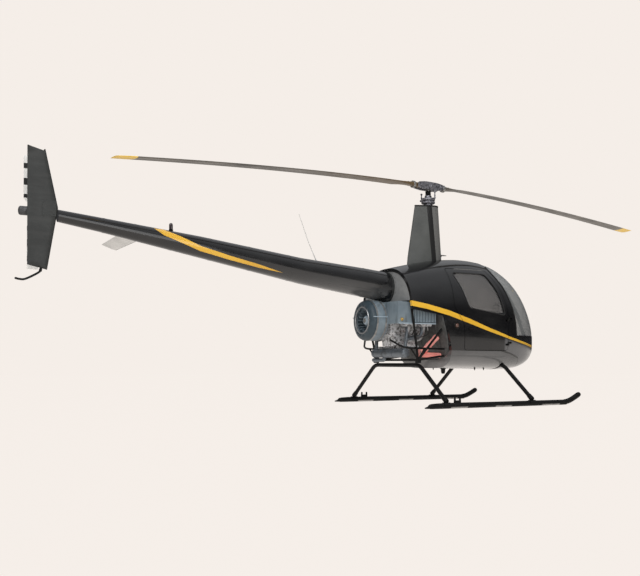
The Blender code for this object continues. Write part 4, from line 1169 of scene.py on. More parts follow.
def build_aerials():
    x, z0 = -3.10, boom_at(-3.10)[0] + boom_at(-3.10)[1]
    base = Shape().turn(((-0.012, 0.021), (0.014, 0.021), (0.018, 0.017)), (x, 0, z0), UP, 32)
    base.piece("strobe_base", gear_paint)
    lens = Shape().turn(
        ((0.018, 0.0185), (0.060, 0.0185), (0.074, 0.014), (0.0795, 0.005)), (x, 0, z0), UP, 32,
    )
    lens.piece("strobe_lens", smoked_lens, stands_for=["strobe_lamp"])
    foot = boom_at(-1.49)
    whip = Shape().tube(
        [(-1.476, 0, foot[0] + foot[1] - 0.004), (-1.58, 0, 1.81), (-1.683, 0, 2.08)],
        lambda t: 0.0048 - 0.0022 * t, 12,
    )
    whip.turn(
        ((0, 0.014), (0.006, 0.013), (0.012, 0.007), (0.03, 0.006)), (-1.476, 0, foot[0] + foot[1] - 0.003),
        (-0.36, 0, 0.93), 20,
    )
    whip.piece("whip_aerial", pale_paint, stands_for=["whip_antenna"])
    tube = Shape().turn(
        ((0.0, 0.007), (0.055, 0.007), (0.085, 0.0045), (0.0955, 0.003)), (0.1645, 0, 1.745), FORWARD, 20,
    )
    tube.box((0.1645, -0.0015, 1.728), (0.192, 0.0015, 1.75))
    tube.piece("pitot_probe", steel, stands_for=["pitot_tube"])


# Mast fairing: z, aft x, front x, half width
FAIRING = ((1.55, -0.300, 0.178, 0.105), (1.70, -0.285, 0.167, 0.100), (2.31, -0.184, 0.120, 0.085))
FOIL = (
    (0.0, 0.0), (0.008, 0.24), (0.03, 0.46), (0.10, 0.78), (0.25, 1.0), (0.5, 0.88), (0.75, 0.5), (1.0, 0.06),
)


def foil_line(aft, front, half):
    chord = front - aft
    one = [(front - f * chord, h * half) for f, h in smooth_rows(FOIL, 4)]
    return one + [(x, -y) for x, y in one[:0:-1]]


def build_mast():
    build_fairing()
    build_swashplates()


def build_fairing():
    rows = []
    for z in np.linspace(FAIRING[0][0], FAIRING[-1][0], 16):
        rows.append([(x, y, z) for x, y in foil_line(*row_at(z, FAIRING))])
    fairing = Shape().loft(rows).thing()
    cut(fairing, hull(-GAP, aft=0.1), Shape().rod((0, 0, 2.2), (0, 0, 2.4), 0.036, sides=32).thing())
    settle(fairing, "mast_fairing_skin", mast_paint, stands_for=["mast_fairing"], crease=45)
    trim = Shape()
    z = 2.293
    aft, front, half = row_at(z, FAIRING)
    trim.plate(foil_line(aft - 0.0015, front + 0.0015, half + 0.0015), z, z + 0.014)
    edge = [(row_at(z, FAIRING)[0] + 0.004, 0, z) for z in (1.68, 1.9, 2.1, 2.29)]
    trim.tube(edge, 0.0065, 12)
    trim.piece("fairing_edges", gear_paint)
    seam = Shape()
    for side, _ in SIDES:
        for k in range(16):
            z = 1.80 + 0.03 * k
            aft, front, half = row_at(z, FAIRING)
            dome(seam, (front - 0.25 * (front - aft), side * half, z), (0, side, 0))
    seam.piece("fairing_rivets", dull_paint)


def build_swashplates():
    """The shaft with both swashplates, the pitch links and the boot."""
    shaft = Shape().turn(
        ((2.2, 0.026), (2.50, 0.026), (2.503, 0.026), (2.58, 0.026), (2.595, 0.021)), (0, 0, 0), UP, 40,
    )
    shaft.piece("mast_shaft", steel, "rotor_mast", ["mast"])
    lower = Shape().hoop(
        (
            (2.3105, 0.034), (2.3105, 0.052), (2.330, 0.052), (2.336, 0.074), (2.340, 0.080), (2.361, 0.080),
            (2.365, 0.076), (2.365, 0.034),
        ),
        (0, 0, 0), UP,
    )
    for i in range(3):
        a = 2 * math.pi * (i + 0.5) / 3
        out = Vector((math.cos(a), math.sin(a), 0))
        lower.bolt(Vector((0, 0, 2.350)) + out * 0.080, out, 0.005)
    lower.piece("swashplate_fixed", hub_metal, stands_for=["swashplate_lower"], bevel=0.001)
    upper = Shape().hoop(
        (
            (2.373, 0.0263), (2.373, 0.078), (2.377, 0.082), (2.396, 0.082), (2.400, 0.078), (2.402, 0.042),
            (2.43, 0.040), (2.43, 0.0263),
        ),
        (0, 0, 0), UP,
    )
    for side, _ in SIDES:
        link_y = side * 0.115
        upper.box((-0.012, side * 0.075 - 0.012, 2.376), (0.012, side * 0.118 + 0.012, 2.396))
        upper.rod((0, link_y, 2.385), (0, link_y, 2.470), 0.0065)
        upper.ball((0, link_y, 2.392), 0.012)
        upper.ball((0, link_y, 2.463), 0.0125)
        upper.rod((0, link_y, 2.41), (0, link_y, 2.43), 0.0095, sides=6)
    upper.moved(Matrix.Rotation(ROTOR_TURN, 4, "Z"))
    upper.piece("swashplate_turning", hub_metal, "rotor_mast", ["swashplate_upper"], bevel=0.001)
    boot = []
    for k in range(17):
        boot.append((2.43 + 0.0035 * k, 0.034 if k % 2 else 0.0275))
    boot = [(2.43, 0.0262)] + boot + [(2.487, 0.0262)]
    Shape().hoop(tuple(boot), (0, 0, 0), UP, 32).piece("mast_boot", rubber, "rotor_mast")


def build_rotor():
    turn = Matrix.Rotation(ROTOR_TURN, 4, "Z")
    hub = Shape()
    for side, _ in SIDES:
        low, high = sorted((side * 0.040, side * 0.056))
        cheek = (
            (-0.20, -0.030), (-0.20, 0.030), (-0.085, 0.045), (0.085, 0.045),
            (0.20, 0.030), (0.20, -0.030), (0.085, -0.045), (-0.085, -0.045),
        )
        outline = rounded(cheek, 0.03, closed=True)
        hub.prism([(x, TEETER_Z + z) for x, z in outline], low, high)
        web = side * 0.075
        hub.box((web - 0.013, -0.041, TEETER_Z - 0.030), (web + 0.013, 0.041, TEETER_Z + 0.030))
        pin = side * CONING_HINGE
        hub.rod((pin, -0.063, TEETER_Z), (pin, 0.063, TEETER_Z), 0.010)
        for end, _ in SIDES:
            hub.turn(
                ((0, 0.019), (0.003, 0.019), (0.0035, 0.015), (0.009, 0.014)), (pin, end * 0.056, TEETER_Z),
                (0, end, 0), 24,
            )
            hub.bolt((pin, end * 0.063, TEETER_Z), (0, end, 0), 0.009)
        hub.turn(
            ((0.0, 0.034), (0.004, 0.034), (0.008, 0.026), (0.014, 0.024), (0.016, 0.017), (0.019, 0.015)),
            (0, side * 0.056, TEETER_Z), (0, side, 0), 32,
        )
        hub.rod((0, side * 0.0265, TEETER_Z), (0, side * 0.041, TEETER_Z), 0.022)
    hub.moved(turn)
    hub.piece("hub_bar", hub_metal, "rotor_head", ["rotor_hub"], bevel=0.0018)
    stations = [0.118, 0.15, 0.20, 0.24, 0.27, 0.30, 0.33, 0.36, 0.40, 0.46]
    stations += [0.46 + (3.72 - 0.46) * k / 30 for k in range(1, 31)] + [3.78, 3.815, 3.830, ROTOR_RADIUS]
    for number, extra in ((1, 0.0), (2, math.pi)):
        rows = [blade_ring(radius) for radius in stations]
        blade = Shape().loft(rows)
        place = Matrix.Translation((0, 0, TEETER_Z)) @ Matrix.Rotation(ROTOR_TURN + extra, 4, "Z")
        blade = blade.moved(place).thing()
        eye = Shape().rod((CONING_HINGE, -0.1, 0), (CONING_HINGE, 0.1, 0), 0.0104).moved(place).thing()
        settle(
            cut(blade, eye), "blade_skin_%d" % number, rotor_paint, "blade_%d" % number,
            ["rotor_blade_%d" % number], crease=50,
        )
        root = Shape()
        root.turn(
            ((0.0, 0.036), (0.004, 0.041), (0.030, 0.043), (0.034, 0.038)), (0.215, 0, -0.001), FORWARD, 32,
        )
        for x in (0.262, 0.292, 0.322):
            drop = BLADE_DROOP * ((x - CONING_HINGE) / (ROTOR_RADIUS - CONING_HINGE)) ** 1.7
            root.bolt((x, -0.012, 0.019 - drop), UP, 0.006)
            root.bolt((x, 0.014, 0.019 - drop), UP, 0.006)
        root.moved(place).piece("blade_root_%d" % number, steel, "blade_%d" % number, bevel=0.001)


def blade_ring(radius):
    """Section of a blade at this radius, its leading edge to +Y, from the mast's axis at the hub's height."""
    foil = float(np.interp(radius, [0.24, 0.34, 0.46], [0.0, 0.6, 1.0]))
    chord = float(
        np.interp(radius, [0.24, 0.34, 0.46, 3.735, 3.83, 3.835], [0.070, 0.120, 0.18, 0.18, 0.172, 0.150])
    )
    thick = float(np.interp(radius, [0.24, 0.34, 0.46, 3.735, 3.835], [0.050, 0.036, 0.022, 0.022, 0.012]))
    middle = float(np.interp(radius, [0.24, 0.34, 0.46], [0.0, -0.01, -0.035]))
    reach = max(0.0, (radius - CONING_HINGE) / (ROTOR_RADIUS - CONING_HINGE))
    drop = BLADE_DROOP * reach**1.7
    twist = math.radians(5.0 - 7.0 * reach) * foil
    points = []
    for i in range(36):
        angle = 2 * math.pi * (i + 0.5) / 36
        y, z = power_point(angle, 6.0 - 3.9 * foil)
        if foil:
            z *= 1 - foil * (0.5 * (1 - y) / 2 + 0.42 * max(0.0, -y))
        y, z = 0.975 * y * chord / 2, z * thick / 2
        points.append(
            (
                radius, middle + y * math.cos(twist) - z * math.sin(twist),
                y * math.sin(twist) + z * math.cos(twist) - drop,
            )
        )
    return points


def build_gear():
    top = 2 * SKID_RADIUS
    clamps = Shape()
    for word, x in (("front", CROSS_X[0]), ("aft", CROSS_X[1])):
        half = [(x, SKID_Y - 0.004, top + 0.02), (x, CROSS_HALF, CROSS_Z)]
        route = half + [(x, -y, z) for _, y, z in half[::-1]]
        bar = Shape().tube(rounded(route, 0.07, 10), CROSS_RADIUS, 32)
        bar.piece("cross_bar_" + word, gear_paint, stands_for=["cross_tube_" + word])
        for side, _ in SIDES:
            y = side * SKID_Y
            foot = Vector((x, y - side * 0.004, top + 0.02))
            knee = Vector((x, side * CROSS_HALF, CROSS_Z))
            up = (knee - foot).normalized()
            clamps.turn(((-0.012, 0.027), (0.0, 0.029), (0.055, 0.026), (0.062, 0.0235)), foot, up, 32)
            saddle = arc(0.036, -5, 185, 20)
            saddle += arc(0.0305, 185, -5, 20)
            clamps.slab([(y + p, 0.0297 + q) for p, q in saddle], x - 0.042, x + 0.042)
            for dx in (-0.033, 0.033):
                for dy in (-0.016, 0.016):
                    clamps.bolt((x + dx, y + dy, 0.0297 + 0.0315), (0, dy * 0.3, 1), 0.0055)
    clamps.piece("skid_saddles", gear_paint, bevel=0.001)
    # Stations of the skid: x, z of the centre, radius
    stations = (
        (-0.715, 0.012, 0.006), (-0.66, 0.019, 0.016), (-0.55, 0.0297, 0.0297), (0.30, 0.0297, 0.0297),
        (1.15, 0.0297, 0.0297),
        (1.22, 0.034, 0.0297), (1.28, 0.045, 0.0297), (1.35, 0.073, 0.0297), (1.42, 0.108, 0.0297),
        (1.442, 0.120, 0.024), (1.45, 0.125, 0.014),
    )
    rows = smooth_rows(stations, 5)
    for side, word in SIDES:
        y = side * SKID_Y
        route = [(x, y, max(z, r)) for x, z, r in rows]
        radii = [r for _, _, r in rows]
        last = len(rows) - 1
        skid = Shape().tube(route, lambda t: radii[round(t * last)], 32)
        skid.piece("skid_tube_" + word, gear_paint, stands_for=["skid_" + word])
        shoes = Shape()
        for x0, x1 in ((-0.40, -0.18), (0.20, 0.42), (0.86, 1.12)):
            section = arc(0.0312, 205, 335, 14) + arc(0.0294, 335, 205, 14)
            shoes.slab([(y + p, max(0.0005, 0.0305 + q)) for p, q in section], x0, x1)
        shoes.piece("skid_shoes_" + word, steel)
        lug = Shape()
        low, high = y - 0.012, y + 0.012
        foot = ((-0.34, 0.050), (-0.26, 0.050), (-0.268, 0.085), (-0.332, 0.085))
        lug.prism(rounded(foot, 0.008, closed=True), low, high)
        for near, far in ((-0.345, -0.322), (-0.278, -0.255)):
            ear = ((near, 0.055), (far, 0.055), (far - 0.004, 0.118), (near + 0.004, 0.118))
            lug.prism(rounded(ear, 0.009, closed=True), y - 0.007, y + 0.007)
        for x in (-0.318, -0.282):
            lug.bolt((x, low if side < 0 else high, 0.072), (0, side, 0), 0.0055)
        lug.piece("wheel_lug_" + word, gear_paint, bevel=0.001)


# Each cylinder's x and side, aft pair first
CYLINDERS = ((-0.52, 1), (-0.49, -1), (-0.32, 1), (-0.29, -1))
MUFFLER_X, MUFFLER_Z, TAIL_PIPE_Z, RISER_Y = -0.53, 0.59, 0.512, 0.30
DUCT_SIDE = 0.4405
TRUSS_RADIUS, RAIL_RADIUS, BRACE_RADIUS = 0.0127, 0.011, 0.009


def build_engine_bay():
    build_crankcase()
    build_cylinders()
    build_accessories()
    build_fan()
    build_exhaust()
    build_truss()
    build_bay_walls()


def build_crankcase():
    case = Shape()
    outline = rounded(
        (
            (-0.150, 0.83), (-0.13, 0.80), (0.13, 0.80), (0.150, 0.83), (0.150, 1.03), (0.10, 1.05),
            (-0.10, 1.05), (-0.150, 1.03),
        ),
        0.02, closed=True,
    )
    case.slab(outline, -0.62, -0.22)
    case.slab(rounded(oblong(0.0, 0.13, 0.67, 0.81), 0.03, closed=True), -0.555, -0.245)
    for x in (-0.60, -0.50, -0.40, -0.30, -0.24):
        case.slab(grown(outline, 0.004), x - 0.004, x + 0.004)
    case.box((-0.465, -0.4187, 0.634), (-0.425, 0.4187, 0.670))
    for side, _ in SIDES:
        for k in range(7):
            case.bolt((-0.53 + 0.045 * k, side * 0.131, 0.795), (0, side, 0), 0.0055)
    for x in (-0.47, -0.40, -0.33):
        for y in (-0.1, 0.1):
            case.bolt((x, y, 0.669), DOWN, 0.006)
    case.piece("crankcase", cast_metal, stands_for=["engine"], bevel=0.003)


def build_cylinders():
    barrels, covers, pipes, leads, plugs = Shape(), Shape(), Shape(), Shape(), Shape()
    for x, side in CYLINDERS:
        out = Vector((0, side, 0))
        barrels.rod((x, side * 0.14, CRANK_Z), (x, side * 0.33, CRANK_Z), 0.058, sides=40)
        for k in range(18):
            y = 0.165 + 0.0085 * k
            barrels.turn(((0.0, 0.0735), (0.0024, 0.0735)), (x, side * y, CRANK_Z), out, 40)
        for k in range(8):
            y = 0.322 + 0.0078 * k
            fin = rounded(oblong(x, 0.073, CRANK_Z - 0.070, CRANK_Z + 0.074), 0.02, 4, closed=True)
            barrels.prism(fin, *sorted((side * y, side * (y + 0.003))))
        barrels.prism(oblong(x, 0.055, CRANK_Z - 0.055, CRANK_Z + 0.06), *sorted((side * 0.31, side * 0.386)))
        cover = rounded(
            (
                (x - 0.060, CRANK_Z - 0.060), (x + 0.060, CRANK_Z - 0.060), (x + 0.052, CRANK_Z + 0.052),
                (x - 0.052, CRANK_Z + 0.052),
            ),
            0.022, 5, closed=True,
        )
        covers.prism(grown(cover, 0.004), *sorted((side * 0.384, side * 0.388)))
        covers.prism(cover, *sorted((side * 0.386, side * 0.3995)))
        for dx, dz in ((-0.05, -0.05), (0.05, -0.05), (-0.045, 0.042), (0.045, 0.042)):
            covers.bolt((x + dx, side * 0.3935, CRANK_Z + dz), out, 0.004)
        pipe = (
            (x, side * 0.33, CRANK_Z - 0.068), (x + 0.01, side * 0.30, 0.82), (x + 0.02, side * 0.20, 0.745),
            (-0.40, side * 0.12, 0.735),
        )
        pipes.tube(smooth_rows(pipe, 8), 0.017, 20)
        for d in (-0.028, 0.028):
            start, end = (x + d, side * 0.15, 0.875), (x + d, side * 0.375, 0.895)
            pipes.rod(start, end, 0.0065, sides=14)
        plugs.rod(
            (x + 0.035, side * 0.345, CRANK_Z - 0.066), (x + 0.040, side * 0.350, CRANK_Z - 0.115), 0.0085,
        )
        lead = (
            (x + 0.040, side * 0.350, CRANK_Z - 0.112), (x + 0.035, side * 0.350, CRANK_Z - 0.155),
            (x - 0.02, side * 0.27, CRANK_Z - 0.19), (-0.27, side * 0.16, 0.80), (-0.24, side * 0.09, 0.86),
        )
        leads.tube(smooth_rows(lead, 8), 0.0042, 12)
    barrels.piece("cylinder_fins", cast_metal)
    covers.piece("rocker_covers", cast_metal, bevel=0.002)
    pipes.piece("intake_pipes", sheet_metal)
    plugs.piece("spark_plugs", steel, bevel=0.001)
    leads.piece("ignition_leads", rubber)


def build_accessories():
    """Magnetos, alternator and the fitting under the crankcase."""
    extras = Shape()
    for side, _ in SIDES:
        extras.turn(
            ((0, 0.030), (0.01, 0.038), (0.055, 0.038), (0.075, 0.030), (0.08, 0.018)),
            (-0.22, side * 0.085, 0.90), FORWARD, 28,
        )
    extras.turn(
        ((0, 0.05), (0.01, 0.058), (0.03, 0.058), (0.035, 0.050), (0.09, 0.048), (0.10, 0.03)),
        (-0.60, 0.205, 0.83), FORWARD, 32,
    )
    extras.turn(((0, 0.030), (0.02, 0.042), (0.07, 0.042), (0.08, 0.025)), (-0.38, 0, 0.655), DOWN, 28)
    extras.piece("magnetos_and_alternator", dull_paint, bevel=0.0015)


def build_bay_walls():
    """Firewall and aft bulkhead with their beads and bolts."""
    # Painted shade: the firewall and its beads are darkened for the bay's shadow
    dress("firewall", shaded_firewall)
    dress("aft_bulkhead", grey_paint)
    ribs = Shape()
    for y in (-0.36, -0.18, 0.0, 0.18, 0.36):
        for (x0, z0), (x1, z1) in (
            ((-0.0865, 0.66), (-0.178, 0.99)), ((-0.182, 1.03), (-0.182, 1.50 - 0.35 * abs(y))),
        ):
            ribs.tube([(x0, y, z0), (x1, y, z1)], 0.006, 10)
    ribs.piece("firewall_beads", shaded_firewall)
    plate = Shape()
    for i in range(14):
        a = math.radians(-20 + 220 * i / 13)
        plate.bolt((-0.5752, 0.20 * math.cos(a), BOOM[0][1] + 0.195 * math.sin(a)), AFT, 0.005)
    plate.piece("bulkhead_bolts", steel)


def about_crank(angle):
    """Turn about the crankshaft's axis."""
    return Matrix.Translation((0, 0, CRANK_Z)) @ Matrix.Rotation(angle, 4, "X")


FAN_FACE, DRUM_SKIN = (-0.90, 0, CRANK_Z), 0.2255


def build_fan():
    build_shroud()
    build_ducts()
    build_inlet()
    build_fan_wheel()


def build_shroud():
    """Drum round the fan with the hollow roof over the cylinders."""
    drum = Shape().turn(
        ((0.0, 0.180), (0.006, 0.192), (0.02, 0.214), (0.04, 0.223), (0.06, 0.226), (0.205, 0.226)), FAN_FACE,
        FORWARD, 72,
    )
    roof = Shape().prism(
        ((-0.70, 0.91), (-0.20, 0.91), (-0.20, 1.110), (-0.24, 1.135), (-0.70, 1.155)), -0.44, 0.44,
    )
    hollow = Shape().turn(
        ((0.0, 0.165), (0.03, 0.205), (0.06, 0.214), (0.27, 0.214)), (-0.888, 0, CRANK_Z), FORWARD, 72,
    )
    shroud = combine(drum.thing(), roof.thing(), "UNION")
    cut(shroud, hollow.thing(), Shape().rod((-1.0, 0, CRANK_Z), (-0.8, 0, CRANK_Z), 0.140, sides=72).thing())
    cut(shroud, box((-0.69, -0.43, 0.85), (-0.21, 0.43, 1.100)))
    settle(shroud, "fan_housing", shroud_sheet, stands_for=["fan_shroud"], bevel=0.002)


def build_ducts():
    panel, ribs = Shape(), Shape()
    for side, _ in SIDES:
        y = side * DUCT_SIDE
        panel.box((-0.512, y - 0.0015, 0.924), (-0.204, y + 0.0015, 1.100))
        for k in range(15):
            x = -0.500 + 0.0205 * k
            ribs.tube([(x, y + side * 0.002, 0.930), (x, y + side * 0.002, 1.094)], 0.0048, 10)
        ribs.box((-0.695, y - 0.003, 0.908), (-0.205, y + 0.003, 0.920))
        ribs.box((-0.885, side * DRUM_SKIN - 0.004, 0.985), (-0.705, side * DRUM_SKIN + 0.004, 0.995))
    panel.piece("duct_side_panels", slate_sheet)
    ribs.piece("duct_ribs", fan_paint)
    sender = Shape()
    profile = ((0.0, 0.020), (0.006, 0.020), (0.010, 0.013), (0.022, 0.012), (0.026, 0.007))
    sender.turn(profile, (-0.655, -DUCT_SIDE, 0.957), RIGHT, 6)
    sender.piece("duct_sender", brass, bevel=0.001)


def build_inlet():
    face = Shape()
    outer = [
        (0.0, 0.153), (-0.0015, 0.160), (-0.0015, 0.178), (0.004, 0.192), (0.018, 0.2145), (0.040, 0.2245),
        (0.058, 0.2275),
    ]
    inner = [
        (0.060, 0.2265), (0.040, 0.2225), (0.020, 0.2125), (0.006, 0.190), (0.0005, 0.178), (0.0005, 0.160),
    ]
    face.hoop(tuple(outer + inner), FAN_FACE, FORWARD, 72)
    face.piece("fan_housing_face", slate_sheet)
    rim = Shape().hoop(
        ((0.002, 0.138), (-0.006, 0.142), (-0.006, 0.152), (0.004, 0.158), (0.010, 0.150), (0.010, 0.139)),
        FAN_FACE, FORWARD, 72,
    )
    for a in around(16):
        rim.bolt((-0.8985, 0.170 * math.cos(a), CRANK_Z + 0.170 * math.sin(a)), AFT, 0.0045)
    rim.piece("fan_inlet_ring", sheet_metal)
    straps = Shape()
    for start, end in ((0.062, 0.080), (0.170, 0.188)):
        straps.hoop(cuff(start, end, DRUM_SKIN, DRUM_SKIN + 0.003), FAN_FACE, FORWARD, 72)
    straps.piece("drum_straps", steel)


def build_fan_wheel():
    wheel = Shape()
    back = (-0.865, 0, CRANK_Z)
    wheel.turn(
        ((0.0, 0.020), (0.004, 0.040), (0.02, 0.055), (0.13, 0.055), (0.135, 0.035), (0.2447, 0.035)), back,
        FORWARD, 40,
    )
    wheel.hoop(
        ((0.130, 0.050), (0.130, 0.195), (0.134, 0.1975), (0.138, 0.195), (0.138, 0.050)), back, FORWARD, 72,
    )
    wheel.hoop(((0.006, 0.170), (0.006, 0.188), (0.010, 0.190), (0.010, 0.170)), back, FORWARD, 72)
    for a in around(24):
        vane = []
        for x in (-0.855, -0.735):
            lead = [
                (x, 0.128, -0.0015), (x, 0.160, 0.006), (x, 0.190, 0.020), (x, 0.190, 0.023),
                (x, 0.160, 0.009), (x, 0.128, 0.0015),
            ]
            vane.append(lead)
        blade = Shape().loft(vane).moved(about_crank(a))
        wheel.add(blade.points, blade.faces)
    for a in around(6):
        spoke = Shape().loft(
            [
                [(x, y, z) for x, z in ((-0.740, -0.014), (-0.734, -0.014), (-0.734, 0.014), (-0.740, 0.014))]
                for y in (0.03, 0.19)
            ]
        )
        spoke.moved(about_crank(a))
        wheel.add(spoke.points, spoke.faces)
    wheel.piece("fan_rotor", fan_paint, "crank", ["fan_wheel"], bevel=0.0008)
    nut = Shape().loft([ring((x, 0, CRANK_Z), 0.018, FORWARD, 6) for x in (-0.875, -0.862)])
    nut.turn(((0, 0.026), (0.003, 0.026)), (-0.866, 0, CRANK_Z), FORWARD, 32)
    nut.piece("fan_nut", steel, "crank", bevel=0.001)


def build_exhaust():
    can = Shape()
    can.turn(
        ((-0.345, 0.020), (-0.340, 0.040), (-0.330, 0.050), (0.330, 0.050), (0.340, 0.040), (0.345, 0.020)),
        (MUFFLER_X, 0, MUFFLER_Z), LEFT, 48,
    )
    for y in (-0.30, -0.10, 0.10, 0.30):
        can.hoop(cuff(-0.007, 0.007, 0.0495, 0.0525), (MUFFLER_X, y, MUFFLER_Z), LEFT, 48)
    outlet = ((MUFFLER_X, 0.12, MUFFLER_Z), (MUFFLER_X, 0.12, TAIL_PIPE_Z), (MUFFLER_X, 0.36, TAIL_PIPE_Z))
    can.tube(rounded(outlet, 0.03, 8), 0.022, 28)
    for x, side in CYLINDERS[:2]:
        y = side * RISER_Y
        can.tube([(MUFFLER_X, y, 0.60), (x, y, CRANK_Z - 0.078)], 0.021, 24)
    for x, side in CYLINDERS[2:]:
        y = side * RISER_Y
        can.tube(
            rounded(((x, y, CRANK_Z - 0.078), (x - 0.02, y, 0.78), (MUFFLER_X, y, 0.74)), 0.05, 8), 0.019, 24,
        )
    for x, side in CYLINDERS:
        can.turn(((0.0, 0.033), (0.007, 0.033)), (x, side * RISER_Y, CRANK_Z - 0.086), UP, 6)
    can.piece("exhaust_can", exhaust_steel, stands_for=["muffler"])
    hose, y = Shape(), -0.33
    upper = rounded(((-0.145, -0.380, 0.775), (-0.30, -0.335, 0.610), (-0.36, y, 0.60)), 0.05, 10)
    dense = smooth_rows([tuple(p) for p in upper], 6)
    hose.tube(dense, lambda t: 0.0345 + 0.0024 * math.sin(t * 150), 24)
    level = [(-0.36 + 0.0035 * k, y, 0.575 - 0.00014 * k) for k in range(int(0.293 / 0.0035))]
    hose.tube(level, lambda t: 0.0275 + 0.0024 * math.sin(t * 170), 24)
    hose.piece("scat_hoses", red_hose, stands_for=["intake_duct"])
    clamps = Shape()
    for place, along, radius in (
        ((-0.357, y, 0.60), (1, 0, 0.1), 0.0345), ((-0.352, y, 0.575), FORWARD, 0.0305),
    ):
        clamps.hoop(cuff(-0.006, 0.006, radius, radius + 0.0015), place, along, 32)
    clamps.piece("hose_clamps", steel)


def build_truss():
    """Welded tubes that carry the engine and stand on the aft cross tube."""
    foot_z, x, foot_y = CROSS_Z + CROSS_RADIUS + 0.035, CROSS_X[1], 0.44
    truss, welds = Shape(), Shape()
    truss.rod((x, -foot_y, foot_z), (x, foot_y, foot_z), TRUSS_RADIUS)
    for side, _ in SIDES:
        y = side * foot_y
        foot = Vector((x, y, foot_z))
        ends = (
            ((-0.555, side * 0.475, 1.12), TRUSS_RADIUS), ((-0.128, side * 0.4525, 0.861), TRUSS_RADIUS),
            ((-0.535, side * 0.435, 0.640), BRACE_RADIUS), ((-0.352, side * 0.435, 0.640), BRACE_RADIUS),
            ((-0.082, side * 0.4225, 0.559), TRUSS_RADIUS),
        )
        for end, radius in ends:
            truss.rod(foot, end, radius)
            along = (Vector(end) - foot).normalized()
            welds.turn(
                ((0.012, radius + 0.001), (0.018, radius + 0.0035), (0.026, radius + 0.0005)), foot, along,
                20,
            )
            welds.turn(
                ((-0.010, radius + 0.0005), (-0.004, radius + 0.003), (0.0, radius + 0.001)), end, along, 20,
            )
        rail = ((-0.70, side * 0.27, 0.735), (-0.62, side * 0.43, 0.645), (-0.085, side * 0.43, 0.6354))
        truss.tube(rounded(rail, 0.08, 8), RAIL_RADIUS, 20)
        truss.box((x - 0.02, y - 0.03, CROSS_Z + CROSS_RADIUS + GAP), (x + 0.02, y + 0.03, foot_z + 0.012))
        welds.bolt((x, y + side * 0.022, foot_z + 0.012), UP, 0.006)
    truss.piece("engine_truss", gear_paint, stands_for=["engine_frame"], bevel=0.0012)
    welds.piece("truss_welds", gear_paint)


def seat_top(x):
    """Height of the seat base's sloping top."""
    return 0.74 + (x + 0.09) * 0.0816


def cushion(name, outline, near, far, node, channels, across, out):
    """A stuffed seat pad: cloth blown up a little, then sewn across at the channels."""
    start = Shape().prism(grown(outline, -0.011), near + 0.011, far - 0.011).thing()
    corner = start.modifiers.new("corner", "BEVEL")
    corner.width = 0.022
    corner.segments = 4
    grid = start.modifiers.new("grid", "REMESH")
    grid.mode = "VOXEL"
    grid.voxel_size = 0.008
    apply_all(start)
    first = np.array([v.co for v in start.data.vertices])
    cloth = start.modifiers.new("cloth", "CLOTH")
    cloth.settings.use_pressure = True
    cloth.settings.uniform_pressure_force = 4.0
    cloth.settings.effector_weights.gravity = 0.0
    cloth.point_cache.frame_start = 1
    cloth.point_cache.frame_end = 20
    for step in range(1, 21):
        bpy.context.scene.frame_set(step)
    apply_all(start)
    bpy.context.scene.frame_set(1)
    last = np.array([v.co for v in start.data.vertices])
    shift = last - first
    size = np.linalg.norm(shift, axis=1)
    room = 0.010
    shift *= np.minimum(1.0, room / np.maximum(size, 1e-9))[:, None]
    start.data.vertices.foreach_set("co", (first + shift).astype(np.float32).ravel())
    sew(start, channels, across, out)
    smooth = start.modifiers.new("smooth", "SUBSURF")
    smooth.levels = smooth.render_levels = 1
    settle(start, name, seat_cloth, stands_for=[node])


SEAM_WIDTH, SEAM_DEPTH = 0.006, 0.006


def sew(pad, channels, across, out):
    """Draws the cloth down along each seam on the side that faces out."""
    pad.data.update()
    for vertex, normal in zip(pad.data.vertices, pad.data.vertex_normals):
        facing = max(0.0, normal.vector.dot(out))
        if facing < 0.3:
            continue
        deep = sum(math.exp(-(((vertex.co.dot(across) - place) / SEAM_WIDTH) ** 2)) for place in channels)
        vertex.co = vertex.co - Vector(out) * SEAM_DEPTH * min(1.0, deep) * facing


def build_seats():
    pad_thick, belt = 0.08, (0.045, 0.0025)
    for side, word in SIDES:
        near, far = sorted((side * 0.03, side * 0.47))
        under = [(x, seat_top(x) + GAP) for x in (-0.055, 0.40)]
        over = [(x, z + pad_thick) for x, z in under[::-1]]
        cushion(
            "seat_pad_" + word, under + over, near, far, "seat_cushion_" + word, (0.03, 0.12, 0.21, 0.30),
            Vector(FORWARD), Vector(UP),
        )
        back = [
            (x, seat_top(x) + pad_thick + 2 * GAP)
            for x in (-0.055, 0.04)
        ] + [(-0.02, 1.36), (-0.11, 1.36)]
        near, far = sorted((side * 0.03, side * 0.42))
        cushion(
            "back_pad_" + word, back, near, far, "seat_back_" + word, (0.96, 1.08, 1.20), Vector(UP),
            Vector(FORWARD),
        )
        belts = Shape()
        middle = side * 0.225
        for dy in (-0.09, 0.09):
            route = (
                (-0.08, middle + 0.6 * dy, 1.372), (-0.035, middle + 0.6 * dy, 1.374),
                (-0.008, middle + 0.7 * dy, 1.34), (0.008, middle + dy, 1.15), (0.035, middle + dy, 0.93),
                (0.075, middle + 0.6 * dy, 0.862),
            )
            belts.strap(smooth_rows(route, 6), *belt)
        lap = (
            (0.06, middle - 0.185, 0.862), (0.11, middle - 0.10, 0.872), (0.125, middle, 0.876),
            (0.11, middle + 0.10, 0.872), (0.06, middle + 0.185, 0.862),
        )
        belts.strap(smooth_rows(lap, 6), *belt, (1, 0, 0.1))
        belts.piece("seat_belt_" + word, webbing)
        buckle = Shape().box((0.095, middle - 0.03, 0.874), (0.155, middle + 0.03, 0.888))
        buckle.box((0.11, middle - 0.018, 0.888), (0.14, middle + 0.018, 0.891))
        buckle.piece("belt_buckle_" + word, steel, bevel=0.003)
    dress("seat_base", cabin_lining)


